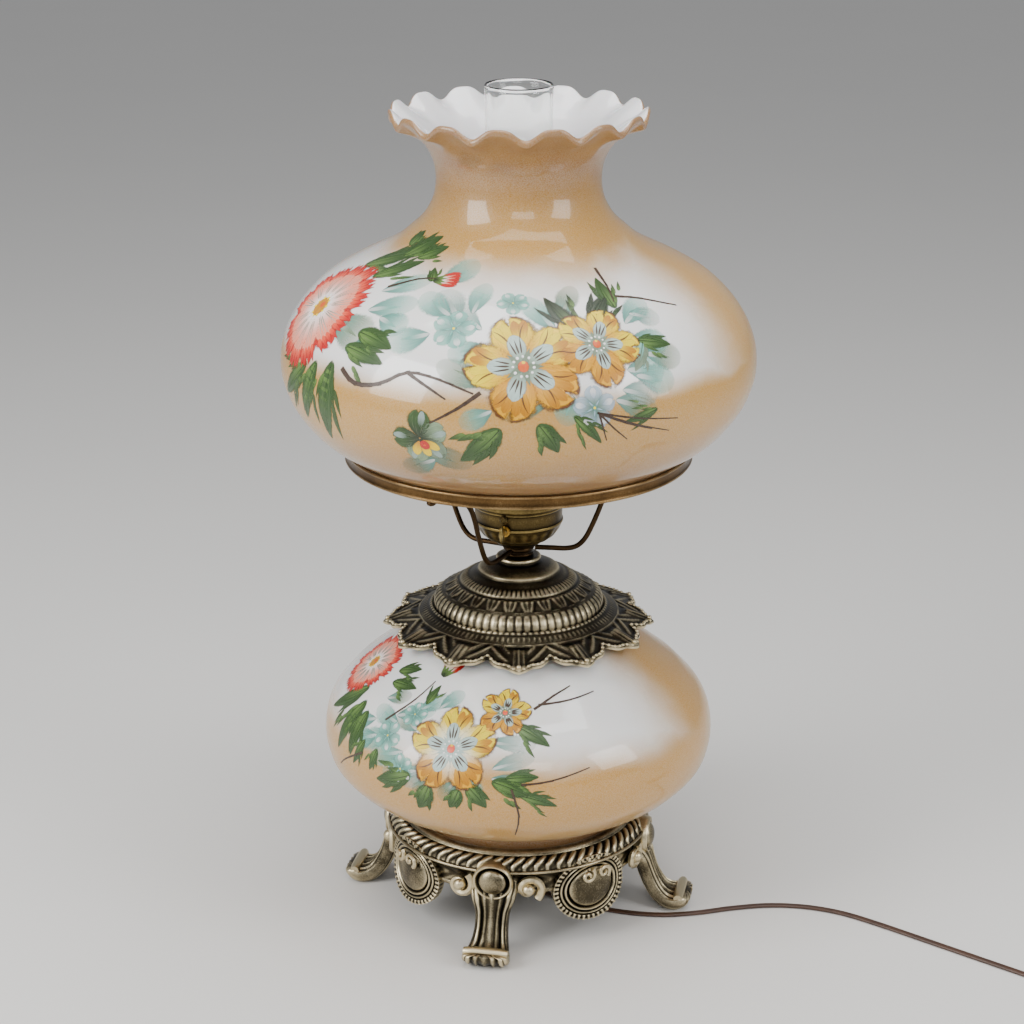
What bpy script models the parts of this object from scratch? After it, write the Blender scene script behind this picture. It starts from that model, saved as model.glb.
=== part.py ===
"""Electrified parlour oil lamp: painted glass shade over a painted glass globe, on a cast four-footed base.

Every outline is a list of (radius, height) points in millimetres about the lamp's own axis.
The origin is on the table, under the axis. The front of the lamp faces -Y.
"""

import math

import bmesh
import bpy
from mathutils import Matrix, Vector

MM = 0.001
GAP = 0.3  # clearance between touching pieces, mm

# Driving dimensions, mm
CHIMNEY_TOP = 645.0
CHIMNEY_FOOT_RADIUS = 33.3
SHADE_RADIUS = 177.0
SHADE_RIM_RADIUS = 96.0
SHADE_RIM_HEIGHT = 620.0
SHADE_FITTER_RADIUS = 128.6
SCALLOPS = 15
SCALLOP_RISE = 7.0
GLOBE_FOOT_RADIUS = 82.0
RING_RADIUS = 130.5
RING_BOTTOM = 365.0
WIRE_RADIUS = 2.0
PIPE_RADIUS = 4.85
PIPE_HOLE = 5.2
CUP_BOTTOM = 293.0
HUB_RADIUS = 11.9
CANOPY_TIP_RADIUS = 105.0
CANOPY_LEAVES = 12
DECK_TOP = 71.6
APRON_RADIUS = 97.0
APRON_BOTTOM = 46.0
SHELL_CENTRE_HEIGHT = 45.0
SHELL_RADIUS = 25.0
CORD_WIDTH = 5.3
CORD_LIFT = 2.75  # height of the lying cord's centre line

# Directions about the lamp's axis, degrees counter-clockwise from +X
FOOT_ANGLES = (-101.0, -11.0, 79.0, 169.0)
ARM_ANGLES = (-120.0, 0.0, 148.0)
KEY_ANGLE = -107.0
SCREW_ANGLE = -109.0
KEY_HEIGHT = 315.0
SCREW_HEIGHT = 324.0
KEY_RADIUS = 41.5

# Cord route from the bushing to the coil, and the coil's own place, mm
EXIT_HEIGHT = 33.7
CORD_ROUTE = (
    (0.0, 0.0, EXIT_HEIGHT),
    (0.0, 0.0, 27.0),
    (1.8, -1.0, 17.5),
    (7.5, -4.2, 8.6),
    (17.0, -9.6, 3.6),
    (28.0, -16.2, CORD_LIFT),
    (44.0, -26.0, CORD_LIFT),
    (64.0, -36.5, CORD_LIFT),
    (90.0, -44.8, CORD_LIFT),
    (116.0, -47.6, CORD_LIFT),
    (142.0, -43.8, CORD_LIFT),
    (168.0, -36.6, CORD_LIFT),
    (196.0, -32.0, CORD_LIFT),
    (224.0, -34.0, CORD_LIFT),
    (250.0, -43.0, CORD_LIFT),
    (276.0, -60.0, CORD_LIFT),
)
COIL_CENTRE = (433.0, -137.0)
COIL_OUTER_TURN = 37.85
COIL_INNER_TURN = 16.65
COIL_HEIGHT = 7.4
COIL_ENTRY_ANGLE = 231.3
COIL_LEAVING_ANGLE = 10.0
TANGENT_CLEARANCE = 22.0
TAIL_LENGTH = 19.0
PLUG_HEIGHT = 7.2
PLUG_LENGTH = 29.0
BLADE_SPACING = 12.7


def clear_scene():
    """Remove whatever the scene holds."""
    for thing in list(bpy.data.objects):
        bpy.data.objects.remove(thing, do_unlink=True)


def finish(name, colour, roughness, metallic=0.0):
    """Make a Principled material."""
    material = bpy.data.materials.new(name)
    material.use_nodes = True
    shader = material.node_tree.nodes["Principled BSDF"]
    shader.inputs["Base Color"].default_value = (*colour, 1.0)
    shader.inputs["Roughness"].default_value = roughness
    shader.inputs["Metallic"].default_value = metallic
    return material


def place(name, shape, material, parent=None):
    """Put a finished bmesh into the scene as one named object."""
    bmesh.ops.remove_doubles(shape, verts=shape.verts, dist=1e-6)
    bmesh.ops.recalc_face_normals(shape, faces=shape.faces)
    mesh = bpy.data.meshes.new(name)
    shape.to_mesh(mesh)
    shape.free()
    mesh.materials.append(material)
    mesh.shade_smooth()
    mesh.set_sharp_from_angle(angle=math.radians(40))
    thing = bpy.data.objects.new(name, mesh)
    bpy.context.scene.collection.objects.link(thing)
    thing.parent = parent
    return thing


def joint_empty(name, location):
    """Mark a joint's axis with an empty."""
    empty = bpy.data.objects.new(name, None)
    empty.location = Vector(location) * MM
    empty.empty_display_size = 0.03
    bpy.context.scene.collection.objects.link(empty)
    return empty


def turned(name, outline, segments, material, mould=None, parent=None, drop=0.0):
    """Spin an outline about Z. It is closed by itself unless it starts and ends on the axis."""
    shape = bmesh.new()
    corners = [shape.verts.new((radius * MM, 0.0, (height - drop) * MM)) for radius, height in outline]
    pairs = list(zip(corners, corners[1:]))
    if outline[0][0] > 0.0:
        pairs.append((corners[-1], corners[0]))
    edges = [shape.edges.new(pair) for pair in pairs]
    bmesh.ops.spin(
        shape,
        geom=corners + edges,
        cent=(0.0, 0.0, 0.0),
        axis=(0.0, 0.0, 1.0),
        angle=2.0 * math.pi,
        steps=segments,
        use_merge=True,
    )
    if mould:
        for vertex in shape.verts:
            mould(vertex.co)
    return place(name, shape, material, parent)


def lofted(name, rings, material, parent=None):
    """Skin a row of closed rings of points and cap both ends."""
    shape = bmesh.new()
    loops = [[shape.verts.new(Vector(point) * MM) for point in ring] for ring in rings]
    for lower, upper in zip(loops, loops[1:]):
        for index in range(len(lower)):
            after = (index + 1) % len(lower)
            shape.faces.new((lower[index], lower[after], upper[after], upper[index]))
    shape.faces.new(loops[0])
    shape.faces.new(loops[-1])
    return place(name, shape, material, parent)


def smooth_route(points, spacing):
    """Points about one spacing apart on a Catmull-Rom curve through the given ones."""
    knots = [Vector(point) for point in points]
    knots = [2 * knots[0] - knots[1], *knots, 2 * knots[-1] - knots[-2]]
    fine = []
    for before, start, end, after in zip(knots, knots[1:], knots[2:], knots[3:]):
        for step in range(24):
            t = step / 24
            fine.append(
                0.5
                * (
                    2 * start
                    + (end - before) * t
                    + (2 * before - 5 * start + 4 * end - after) * t**2
                    + (3 * start - before - 3 * end + after) * t**3
                )
            )
    fine.append(knots[-2])
    lengths = [0.0]
    for first, second in zip(fine, fine[1:]):
        lengths.append(lengths[-1] + (second - first).length)
    count = max(2, round(lengths[-1] / spacing))
    even = []
    index = 0
    for step in range(count + 1):
        target = lengths[-1] * step / count
        while index < len(fine) - 2 and lengths[index + 1] < target:
            index += 1
        share = (target - lengths[index]) / (lengths[index + 1] - lengths[index])
        even.append(fine[index].lerp(fine[index + 1], share))
    return even


def tube(name, points, radius, material):
    """A round wire or cord along a row of points."""
    curve = bpy.data.curves.new(name, "CURVE")
    curve.dimensions = "3D"
    curve.bevel_depth = radius * MM
    curve.bevel_resolution = 2
    curve.use_fill_caps = True
    spline = curve.splines.new("POLY")
    spline.points.add(len(points) - 1)
    for knot, point in zip(spline.points, points):
        knot.co = (*(point * MM), 1.0)
    curve.materials.append(material)
    thing = bpy.data.objects.new(name, curve)
    bpy.context.scene.collection.objects.link(thing)
    return thing


def cut(thing, cutter):
    """Take a cutter's shape out of a piece."""
    hide(cutter)
    modifier = thing.modifiers.new("cut_" + cutter.name, "BOOLEAN")
    modifier.operation = "DIFFERENCE"
    modifier.object = cutter


def merge(thing, other):
    """Cast another shape in one with a piece."""
    hide(other)
    modifier = thing.modifiers.new("with_" + other.name, "BOOLEAN")
    modifier.operation = "UNION"
    modifier.object = other


def hide(helper):
    """Keep a helper out of the model."""
    helper.hide_render = True
    helper.display_type = "WIRE"


def about_axis(angle, radius, height):
    """The point at a direction, radius and height, in mm."""
    turn = math.radians(angle)
    return Vector((radius * math.cos(turn), radius * math.sin(turn), height))


def hex_nut(name, bottom, thickness, material):
    """A hexagon nut on the centre pipe."""
    inner = PIPE_HOLE / math.cos(math.pi / 6)
    outline = ((inner, bottom), (8.2, bottom), (8.2, bottom + thickness), (inner, bottom + thickness))
    return turned(name, outline, 6, material)


def flat_ring(name, inner, outer, bottom, top, segments, material):
    """A washer, gasket or disc with a hole."""
    return turned(name, ((inner, bottom), (outer, bottom), (outer, top), (inner, top)), segments, material)


def scallop(point):
    """Crimp the shade's flared rim into even waves."""
    radius = math.hypot(point.x, point.y) / MM
    if point.z / MM > 585.0 and radius > 62.0:
        share = (radius - 62.0) / (SHADE_RIM_RADIUS - 62.0)
        wave = math.cos(SCALLOPS * math.atan2(point.y, point.x))
        point.z += SCALLOP_RISE * MM * min(share, 1.05) ** 2 * wave


def leaf_edge(point):
    """Draw the canopy's skirt out to one leaf tip for each twelfth of the turn."""
    radius = math.hypot(point.x, point.y) / MM
    if radius > 80.0:
        front = math.atan2(point.y, point.x) + math.pi / 2
        tip = 0.5 + 0.5 * math.cos(CANOPY_LEAVES * front)
        wanted = 80.0 + (radius - 80.0) * (0.52 + 0.48 * tip)
        point.xy *= wanted / radius


def apron_edge(point):
    """Hang a rounded shell between each two feet from the apron's lower edge."""
    if abs(point.z / MM - APRON_BOTTOM) > 0.01:
        return
    angle = math.degrees(math.atan2(point.y, point.x))
    from_foot = (angle - FOOT_ANGLES[0]) % 90.0
    across = APRON_RADIUS * math.radians(abs(from_foot - 45.0))
    if across < SHELL_RADIUS:
        point.z = (SHELL_CENTRE_HEIGHT - math.sqrt(SHELL_RADIUS**2 - across**2)) * MM


def glass_shade(material, parent):
    """Blown shade: fitter collar, full round body, narrow neck and crimped flare."""
    outer = (
        (SHADE_FITTER_RADIUS, 366.5),
        (SHADE_FITTER_RADIUS, 375.2),
        (132.5, 377.6),
        (146.0, 386.0),
        (164.0, 405.0),
        (173.8, 424.0),
        (SHADE_RADIUS, 443.0),
        (172.4, 465.0),
        (160.7, 485.0),
        (139.3, 505.0),
        (101.5, 525.0),
        (80.0, 540.0),
        (66.4, 555.0),
        (60.8, 574.0),
        (62.5, 590.0),
        (72.0, 606.0),
        (85.0, 615.0),
        (SHADE_RIM_RADIUS, SHADE_RIM_HEIGHT),
    )
    inner = (
        (94.5, 623.0),
        (69.0, 609.5),
        (58.0, 590.0),
        (56.8, 574.0),
        (76.5, 537.0),
        (98.5, 521.5),
        (157.0, 482.0),
        (172.8, 443.0),
        (160.5, 407.5),
        (124.6, 377.0),
        (124.6, 366.5),
    )
    return turned("shade", outer + inner, 60, material, scallop, parent, SHADE_BASE)


def glass_chimney(material, parent):
    """Clear chimney: straight foot, slight belly, long tube with a bead at the mouth."""
    wall = 1.7
    outer = (
        (CHIMNEY_FOOT_RADIUS, 329.5),
        (CHIMNEY_FOOT_RADIUS, 352.0),
        (36.4, 385.0),
        (33.6, 432.0),
        (27.5, 490.0),
        (24.8, 545.0),
        (24.8, CHIMNEY_TOP - 3.0),
        (25.3, CHIMNEY_TOP - 1.4),
        (24.6, CHIMNEY_TOP),
    )
    inner = tuple((radius - wall, height) for radius, height in reversed(outer[:7]))
    return turned("chimney", outer + inner, 28, material, None, parent, CHIMNEY_BASE)


def glass_globe(material):
    """Lower globe with a moulded foot collar and an open neck under the canopy."""
    outer = (
        (GLOBE_FOOT_RADIUS, 73.7),
        (GLOBE_FOOT_RADIUS, 82.5),
        (93.0, 87.3),
        (119.0, 100.0),
        (140.5, 118.0),
        (148.6, 134.0),
        (150.2, 149.0),
        (146.0, 168.0),
        (133.6, 185.0),
        (117.0, 200.0),
        (87.0, 223.5),
        (70.0, 232.5),
        (55.0, 238.5),
        (52.0, 243.0),
    )
    inner = (
        (48.0, 243.0),
        (51.0, 235.0),
        (82.0, 220.0),
        (130.0, 182.0),
        (145.6, 149.0),
        (137.0, 120.5),
        (78.0, 86.0),
        (75.0, 73.7),
    )
    return turned("font_globe", outer + inner, 40, material)


def shade_support(ring_metal, wire_metal):
    """Fitter ring on three bent wire arms that spring from the hub under the cup."""
    ring_outline = (
        (RING_RADIUS, RING_BOTTOM + 9.5),
        (RING_RADIUS, RING_BOTTOM),
        (117.5, RING_BOTTOM),
        (117.5, RING_BOTTOM + 1.2),
        (129.2, RING_BOTTOM + 1.2),
        (129.2, RING_BOTTOM + 9.5),
    )
    turned("shade_ring", ring_outline, 48, ring_metal)
    hub_outline = (
        (PIPE_HOLE, 285.3),
        (HUB_RADIUS, 285.3),
        (HUB_RADIUS, 292.7),
        (PIPE_HOLE, 292.7),
    )
    turned("arm_hub", hub_outline, 20, wire_metal)
    arm_route = (
        (HUB_RADIUS + 0.5, 290.5),
        (25.0, 290.0),
        (37.0, 289.6),
        (45.0, 291.8),
        (51.0, 298.0),
        (56.0, 308.0),
        (60.5, 319.0),
        (65.0, 331.0),
        (71.0, 342.0),
        (80.0, 350.5),
        (93.0, 357.5),
        (108.0, 361.4),
        (127.0, RING_BOTTOM - GAP - WIRE_RADIUS),
    )
    for number, angle in enumerate(ARM_ANGLES, start=1):
        route = [about_axis(angle, radius, height) for radius, height in arm_route]
        tube(f"ring_arm_{number}", smooth_route(route, 9.0), WIRE_RADIUS, wire_metal)


def burner_cup(metal):
    """Spun cup that holds the chimney's foot and hides the lamp socket."""
    outline = (
        (PIPE_HOLE, CUP_BOTTOM),
        (12.5, CUP_BOTTOM),
        (22.0, 299.5),
        (29.4, 305.0),
        (33.5, 313.0),
        (34.2, 326.0),
        (35.6, 329.0),
        (35.8, 335.0),
        (34.6, 335.0),
        (34.4, 330.0),
        (33.0, 326.5),
        (32.3, 313.6),
        (28.5, 306.2),
        (21.6, 301.0),
        (12.0, 294.3),
        (PIPE_HOLE, 294.3),
    )
    cup = turned("burner_cup", outline, 24, metal)
    bore = turned("switch_bore", ((0.0, 26.0), (3.2, 26.0), (3.2, 40.0), (0.0, 40.0)), 12, metal)
    aim(bore, KEY_ANGLE, KEY_HEIGHT)
    cut(cup, bore)
    gallery_outline = ((29.0, 327.6), (32.6, 327.6), (32.6, 329.2), (29.0, 329.2))
    turned("chimney_gallery", gallery_outline, 28, metal)


def aim(thing, angle, height):
    """Lay a piece turned about Z along a radius of the lamp, with its base on the axis."""
    turn = Matrix.Rotation(math.radians(angle), 4, "Z") @ Matrix.Rotation(math.pi / 2, 4, "Y")
    thing.matrix_world = Matrix.Translation((0.0, 0.0, height * MM)) @ turn


def rotary_switch(metal, dark, joint):
    """Turn key on a spindle that runs through the cup wall to the socket's switch."""
    bushing = ((2.1, 32.0), (2.9, 32.0), (2.9, 35.0), (4.2, 35.0), (4.2, 36.6), (2.1, 36.6))
    aim(turned("switch_bushing", bushing, 12, metal), KEY_ANGLE, KEY_HEIGHT)
    spindle = ((0.0, 15.6), (1.7, 15.6), (1.7, KEY_RADIUS - 2.2), (0.0, KEY_RADIUS - 2.2))
    shaft = turned("switch_spindle", spindle, 10, dark)
    bow = []
    for depth in (-1.9, -0.7, 0.7, 1.9):
        share = 0.7 if abs(depth) > 1.0 else 1.0
        ring = []
        for step in range(16):
            turn = 2 * math.pi * step / 16
            reach = 6.8 - 1.3 * math.cos(2 * turn + math.pi)
            ring.append((0.62 * reach * share * math.cos(turn), reach * share * math.sin(turn), depth))
        bow.append(ring)
    key = lofted("switch_key", bow, metal)
    for piece, slide in ((shaft, 0.0), (key, KEY_RADIUS)):
        aim(piece, KEY_ANGLE, KEY_HEIGHT)
        piece.matrix_world = piece.matrix_world @ Matrix.Translation((0.0, 0.0, slide * MM))
        keep = piece.matrix_world.copy()
        piece.parent = joint
        piece.matrix_parent_inverse = joint.matrix_world.inverted()
        piece.matrix_world = keep
    head = ((0.0, 34.7), (3.1, 34.7), (3.1, 35.6), (2.0, 36.4), (0.0, 36.4))
    aim(turned("cup_screw", head, 12, metal), SCREW_ANGLE, SCREW_HEIGHT)


def upper_socket(brass, phenolic, bulb_glass_finish):
    """Screw-shell socket and frosted bulb inside the chimney."""
    flat_ring("socket_cap", PIPE_HOLE, 12.0, 294.7, 298.8, 20, brass)
    turned("socket_body", ((0.0, 299.1), (15.0, 299.1), (15.0, 312.0), (0.0, 312.0)), 20, phenolic)
    flat_ring("socket_sleeve", 14.4, 15.4, 312.3, 335.0, 20, phenolic)
    flat_ring("socket_screw_shell", 13.3, 13.9, 312.3, 333.0, 20, brass)
    turned("centre_contact", ((0.0, 312.3), (3.0, 312.3), (3.0, 314.2), (0.0, 314.2)), 10, brass)
    base = ((0.0, 314.6), (4.0, 314.6), (12.0, 317.5), (12.7, 338.0), (0.0, 338.0))
    turned("bulb_base", base, 20, brass)
    bulb = [(0.0, 338.3), (12.4, 338.3), (13.4, 350.0), (17.5, 363.0)]
    for step in range(6):
        turn = math.radians(-28 + 118 * step / 5)
        bulb.append((24.0 * math.cos(turn) if step < 5 else 0.0, 385.0 + 24.0 * math.sin(turn)))
    turned("bulb_glass", bulb, 20, bulb_glass_finish)


def night_light(brass, steel, phenolic, bulb_glass_finish):
    """Small lampholder on a strip clamped to the pipe inside the lower globe."""
    offset = 27.0
    strip = []
    for height in (116.0, 117.5):
        strip.append(((-10.0, -7.0, height), (38.0, -7.0, height), (38.0, 7.0, height), (-10.0, 7.0, height)))
    bracket = lofted("night_light_bracket", strip, steel)
    hole = turned("bracket_hole", ((0.0, 110.0), (PIPE_HOLE, 110.0), (PIPE_HOLE, 124.0), (0.0, 124.0)), 16, steel)
    cut(bracket, hole)
    hex_nut("bracket_nut_lower", 111.7, 4.0, brass)
    hex_nut("bracket_nut_upper", 117.8, 4.0, brass)
    holder = ((0.0, 117.8), (9.0, 117.8), (9.0, 146.0), (0.0, 146.0))
    bulb = ((0.0, 146.3), (7.5, 146.3), (8.5, 153.0), (12.0, 166.0), (11.0, 178.0), (6.0, 188.0), (0.0, 192.0))
    turned("night_light_socket", holder, 14, phenolic).location.x = offset * MM
    turned("night_light_bulb", bulb, 14, bulb_glass_finish).location.x = offset * MM


def canopy(metal):
    """Cast cap over the globe: bell, stepped bands and a skirt of leaf tips."""
    outline = (
        (5.3, 285.0),
        (17.0, 284.6),
        (17.0, 280.4),
        (22.0, 278.6),
        (30.0, 275.6),
        (31.5, 272.8),
        (37.0, 269.8),
        (46.5, 263.8),
        (56.0, 258.4),
        (62.5, 253.5),
        (65.0, 246.5),
        (69.0, 244.4),
        (76.0, 240.6),
        (90.0, 236.0),
        (CANOPY_TIP_RADIUS, 229.8),
        (104.2, 227.6),
        (90.0, 233.6),
        (66.0, 241.6),
        (58.0, 251.0),
        (30.0, 267.5),
        (16.0, 273.3),
        (5.3, 273.3),
    )
    turned("canopy", outline, 48, metal, leaf_edge)


def foot_rings():
    """Sections of one scrolled foot in its own radial plane, pointing along +X."""
    stations = (
        (95.5, 64.0, 10.0, 3.5, -75.0),
        (99.5, 54.0, 12.0, 5.0, -80.0),
        (101.5, 43.0, 11.5, 5.0, -80.0),
        (103.5, 32.0, 11.0, 4.8, -76.0),
        (107.5, 21.5, 11.0, 4.8, -62.0),
        (113.5, 12.0, 12.0, 5.2, -45.0),
        (120.5, 5.5, 14.0, 6.0, -12.0),
        (129.0, 5.6, 14.5, 6.0, 14.0),
        (133.0, 10.5, 12.5, 5.0, 62.0),
    )
    section = ((-1.0, -0.5), (-0.65, -1.0), (0.65, -1.0), (1.0, -0.5))
    section += tuple((-across, -through) for across, through in section)
    rings = []
    for radius, height, half_width, half_depth, heading in stations:
        turn = math.radians(heading)
        ring = []
        for across, through in section:
            depth = through * half_depth
            x = radius - depth * math.sin(turn)
            z = max(0.0, height + depth * math.cos(turn))
            ring.append((x, across * half_width, z))
        rings.append(ring)
    return rings


def base_casting(metal):
    """Hollow cast base: seat and lip for the globe, shell-edged apron and four feet in one piece."""
    outline = (
        (30.0, DECK_TOP),
        (83.2, DECK_TOP),
        (83.4, 76.0),
        (90.5, 76.6),
        (93.0, 74.0),
        (102.0, 68.2),
        (99.5, 63.5),
        (APRON_RADIUS, 55.0),
        (APRON_RADIUS, APRON_BOTTOM),
        (93.0, APRON_BOTTOM),
        (93.0, 62.0),
        (88.0, 68.0),
        (30.0, 68.0),
    )
    casting = turned("base_casting", outline, 60, metal, apron_edge)
    for number, angle in enumerate(FOOT_ANGLES, start=1):
        foot = lofted(f"foot_shape_{number}", foot_rings(), metal)
        foot.rotation_euler.z = math.radians(angle)
        merge(casting, foot)


def centre_stack(brass, steel, felt):
    """Threaded pipe and the nuts, washers and gaskets that clamp the lamp along it."""
    pipe = ((3.3, 56.0), (PIPE_RADIUS, 56.0), (PIPE_RADIUS, 298.5), (3.3, 298.5))
    turned("centre_pipe", pipe, 16, brass)
    hex_nut("base_locknut", 59.8, 4.9, brass)
    flat_ring("base_washer", PIPE_HOLE, 36.0, 65.0, 67.7, 24, steel)
    flat_ring("lower_gasket", 74.0, 81.0, DECK_TOP + GAP, 73.4, 32, felt)
    flat_ring("upper_gasket", 47.0, 53.0, 243.3, 244.8, 28, felt)
    flat_ring("globe_check_plate", PIPE_HOLE, 56.0, 245.1, 246.6, 28, steel)
    hex_nut("canopy_locknut", 268.5, 4.5, brass)


def mains_cord(cord_finish, bushing_finish, plug_finish, blade_metal):
    """Flat twin cord that leaves under the base, its coil, and a two-blade plug."""
    bushing = ((0.0, 55.7), (6.6, 55.7), (6.6, 51.5), (5.2, 50.0), (3.7, 34.0), (0.0, 34.0))
    turned("cord_bushing", bushing, 16, bushing_finish)
    centre = Vector((*COIL_CENTRE, 0.0))
    entry = math.radians(COIL_ENTRY_ANGLE)
    heading_in = Vector((-math.sin(entry), math.cos(entry), 0.0))
    touch_in = centre + COIL_OUTER_TURN * Vector((math.cos(entry), math.sin(entry), 0.0))
    lift = Vector((0.0, 0.0, CORD_LIFT))
    last = [touch_in + lift - heading_in * distance for distance in (100.0, 60.0, TANGENT_CLEARANCE)]
    route = [Vector(point) for point in CORD_ROUTE] + last
    tube("cord_lead", smooth_route(route, 10.5), CORD_WIDTH / 2, cord_finish)

    half = CORD_WIDTH / 2 + 0.4
    ring = (
        (COIL_INNER_TURN - half, 0.1),
        (COIL_OUTER_TURN + half, 0.1),
        (COIL_OUTER_TURN + half, COIL_HEIGHT),
        (COIL_INNER_TURN - half, COIL_HEIGHT),
    )
    turned("cord_coil", ring, 28, cord_finish).location = centre * MM

    leaving = math.radians(COIL_LEAVING_ANGLE)
    heading_out = Vector((-math.sin(leaving), math.cos(leaving), 0.0))
    side = Vector((math.cos(leaving), math.sin(leaving), 0.0))
    touch_out = centre + COIL_OUTER_TURN * side
    tail_start = touch_out + heading_out * TANGENT_CLEARANCE
    tail_end = tail_start + heading_out * TAIL_LENGTH
    tail = (
        tail_start + Vector((0.0, 0.0, 5.2)),
        tail_start.lerp(tail_end, 0.4) + Vector((0.0, 0.0, 6.2)),
        tail_start.lerp(tail_end, 0.7) + Vector((0.0, 0.0, PLUG_HEIGHT)),
        tail_end + Vector((0.0, 0.0, PLUG_HEIGHT)),
    )
    tube("cord_tail", list(tail), CORD_WIDTH / 2, cord_finish)

    plug_back = tail_end + heading_out * GAP
    up = Vector((0.0, 0.0, 1.0))
    rings = []
    for along, half_width, half_depth in ((0.0, 4.6, 3.8), (3.0, 6.6, 5.0), (13.0, 11.0, 6.4), (24.0, 13.0, 6.9)):
        rings.append(plug_ring(plug_back + heading_out * along, side, up, half_width, half_depth))
    rings.append(plug_ring(plug_back + heading_out * PLUG_LENGTH, side, up, 12.4, 6.5))
    lofted("plug_body", rings, plug_finish)
    for name, direction in (("plug_blade_left", -0.5), ("plug_blade_right", 0.5)):
        root = plug_back + heading_out * (PLUG_LENGTH + GAP) + side * BLADE_SPACING * direction
        blade = []
        for along in (0.0, 16.5):
            middle = root + heading_out * along + up * PLUG_HEIGHT
            blade.append([middle + side * a * 0.75 + up * b * 3.15 for a, b in ((-1, -1), (1, -1), (1, 1), (-1, 1))])
        lofted(name, blade, blade_metal)


def plug_ring(middle, side, up, half_width, half_depth):
    """One rounded section of the plug."""
    corners = []
    for step in range(12):
        turn = 2 * math.pi * (step + 0.5) / 12
        across = math.copysign(abs(math.cos(turn)) ** 0.7, math.cos(turn))
        through = math.copysign(abs(math.sin(turn)) ** 0.7, math.sin(turn))
        corners.append(middle + side * across * half_width + up * (PLUG_HEIGHT + through * half_depth))
    return corners


SHADE_BASE = 366.5  # height of the shade's own origin, where it rests on the ring
CHIMNEY_BASE = 329.5  # height of the chimney's own origin, where it rests on the gallery


def main():
    """Build the whole lamp."""
    clear_scene()
    painted_glass = finish("painted_glass", (0.86, 0.74, 0.52), 0.18)
    clear_glass = finish("clear_glass", (0.90, 0.94, 0.94), 0.04)
    bulb_finish = finish("frosted_bulb_glass", (0.92, 0.92, 0.90), 0.45)
    cast_metal = finish("antiqued_casting", (0.25, 0.21, 0.15), 0.38, 1.0)
    ring_metal = finish("bronzed_ring", (0.36, 0.25, 0.14), 0.34, 1.0)
    wire_metal = finish("dark_bronze_wire", (0.13, 0.08, 0.05), 0.42, 1.0)
    cup_metal = finish("aged_brass", (0.38, 0.29, 0.12), 0.32, 1.0)
    brass = finish("plain_brass", (0.62, 0.48, 0.24), 0.35, 1.0)
    steel = finish("plated_steel", (0.55, 0.55, 0.56), 0.35, 1.0)
    phenolic = finish("black_phenolic", (0.03, 0.03, 0.03), 0.4)
    felt = finish("gasket_felt", (0.45, 0.38, 0.28), 0.95)
    cord_brown = finish("brown_cord", (0.14, 0.06, 0.035), 0.42)
    plug_brown = finish("brown_plug", (0.10, 0.045, 0.03), 0.35)

    shade_joint = joint_empty("shade_lift_axis", (0.0, 0.0, SHADE_BASE))
    chimney_joint = joint_empty("chimney_lift_axis", (0.0, 0.0, CHIMNEY_BASE))
    key_joint = joint_empty("key_turn_axis", about_axis(KEY_ANGLE, KEY_RADIUS, KEY_HEIGHT))
    bpy.context.view_layer.update()

    glass_shade(painted_glass, shade_joint)
    glass_chimney(clear_glass, chimney_joint)
    glass_globe(painted_glass)
    shade_support(ring_metal, wire_metal)
    burner_cup(cup_metal)
    rotary_switch(cup_metal, wire_metal, key_joint)
    upper_socket(brass, phenolic, bulb_finish)
    canopy(cast_metal)
    centre_stack(brass, steel, felt)
    night_light(brass, steel, phenolic, bulb_finish)
    base_casting(cast_metal)
    mains_cord(cord_brown, phenolic, plug_brown, brass)


main()
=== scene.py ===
"""Looks of an electrified parlour oil lamp: painted glass, antiqued castings, a mains cord."""

import logging
import math
from dataclasses import dataclass
from enum import Enum
from typing import Callable, Sequence, Union

import bpy
import numpy as np
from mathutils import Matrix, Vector


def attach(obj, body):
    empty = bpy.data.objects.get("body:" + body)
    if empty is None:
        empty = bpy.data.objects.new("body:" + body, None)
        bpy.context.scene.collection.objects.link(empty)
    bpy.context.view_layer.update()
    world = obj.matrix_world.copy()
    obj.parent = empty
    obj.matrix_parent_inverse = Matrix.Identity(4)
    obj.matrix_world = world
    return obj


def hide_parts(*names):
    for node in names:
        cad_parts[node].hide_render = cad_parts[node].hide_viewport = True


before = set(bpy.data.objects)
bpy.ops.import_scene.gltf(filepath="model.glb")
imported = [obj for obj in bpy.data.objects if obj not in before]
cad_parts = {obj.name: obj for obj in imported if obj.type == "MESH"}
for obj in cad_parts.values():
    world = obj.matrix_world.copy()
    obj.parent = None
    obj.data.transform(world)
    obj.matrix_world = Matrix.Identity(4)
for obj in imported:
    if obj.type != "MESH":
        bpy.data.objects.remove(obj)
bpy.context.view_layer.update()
LOG = logging.getLogger("lamp")
MM = 0.001
MERGE_GAP = 2e-6  # metres between points that are one point
SMOOTH_ANGLE = 42.0  # degrees at an edge that still looks round
APRON = 97.0  # the base's radius under its ornaments
FIRST_COAT = 0.06  # how far the lowest paint stands off the glass
PAINT_COAT = 0.035  # how much each coat adds
HEAP = 40  # strokes kept apart before they are joined
SPINE = 40  # points along a stroke's middle line
FIFTH = 72.0  # degrees between two of five petals
LAMP_MIDDLE = (0.0, 0.0, 0.33)
Array = np.ndarray
Pair = tuple[Array, Array]
Triple = tuple[Array, Array, Array]
Piece = bpy.types.Object
Spot = tuple[float, float]
Colour = tuple[float, float, float, float]
Reading = Union["Wire", float]


def rgb(red: float, green: float, blue: float) -> Colour:
    """Returns the linear colour of display values from 0 to 255."""
    return (*(((c / 255.0 + 0.055) / 1.055) ** 2.4 for c in (red, green, blue)), 1.0)


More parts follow.
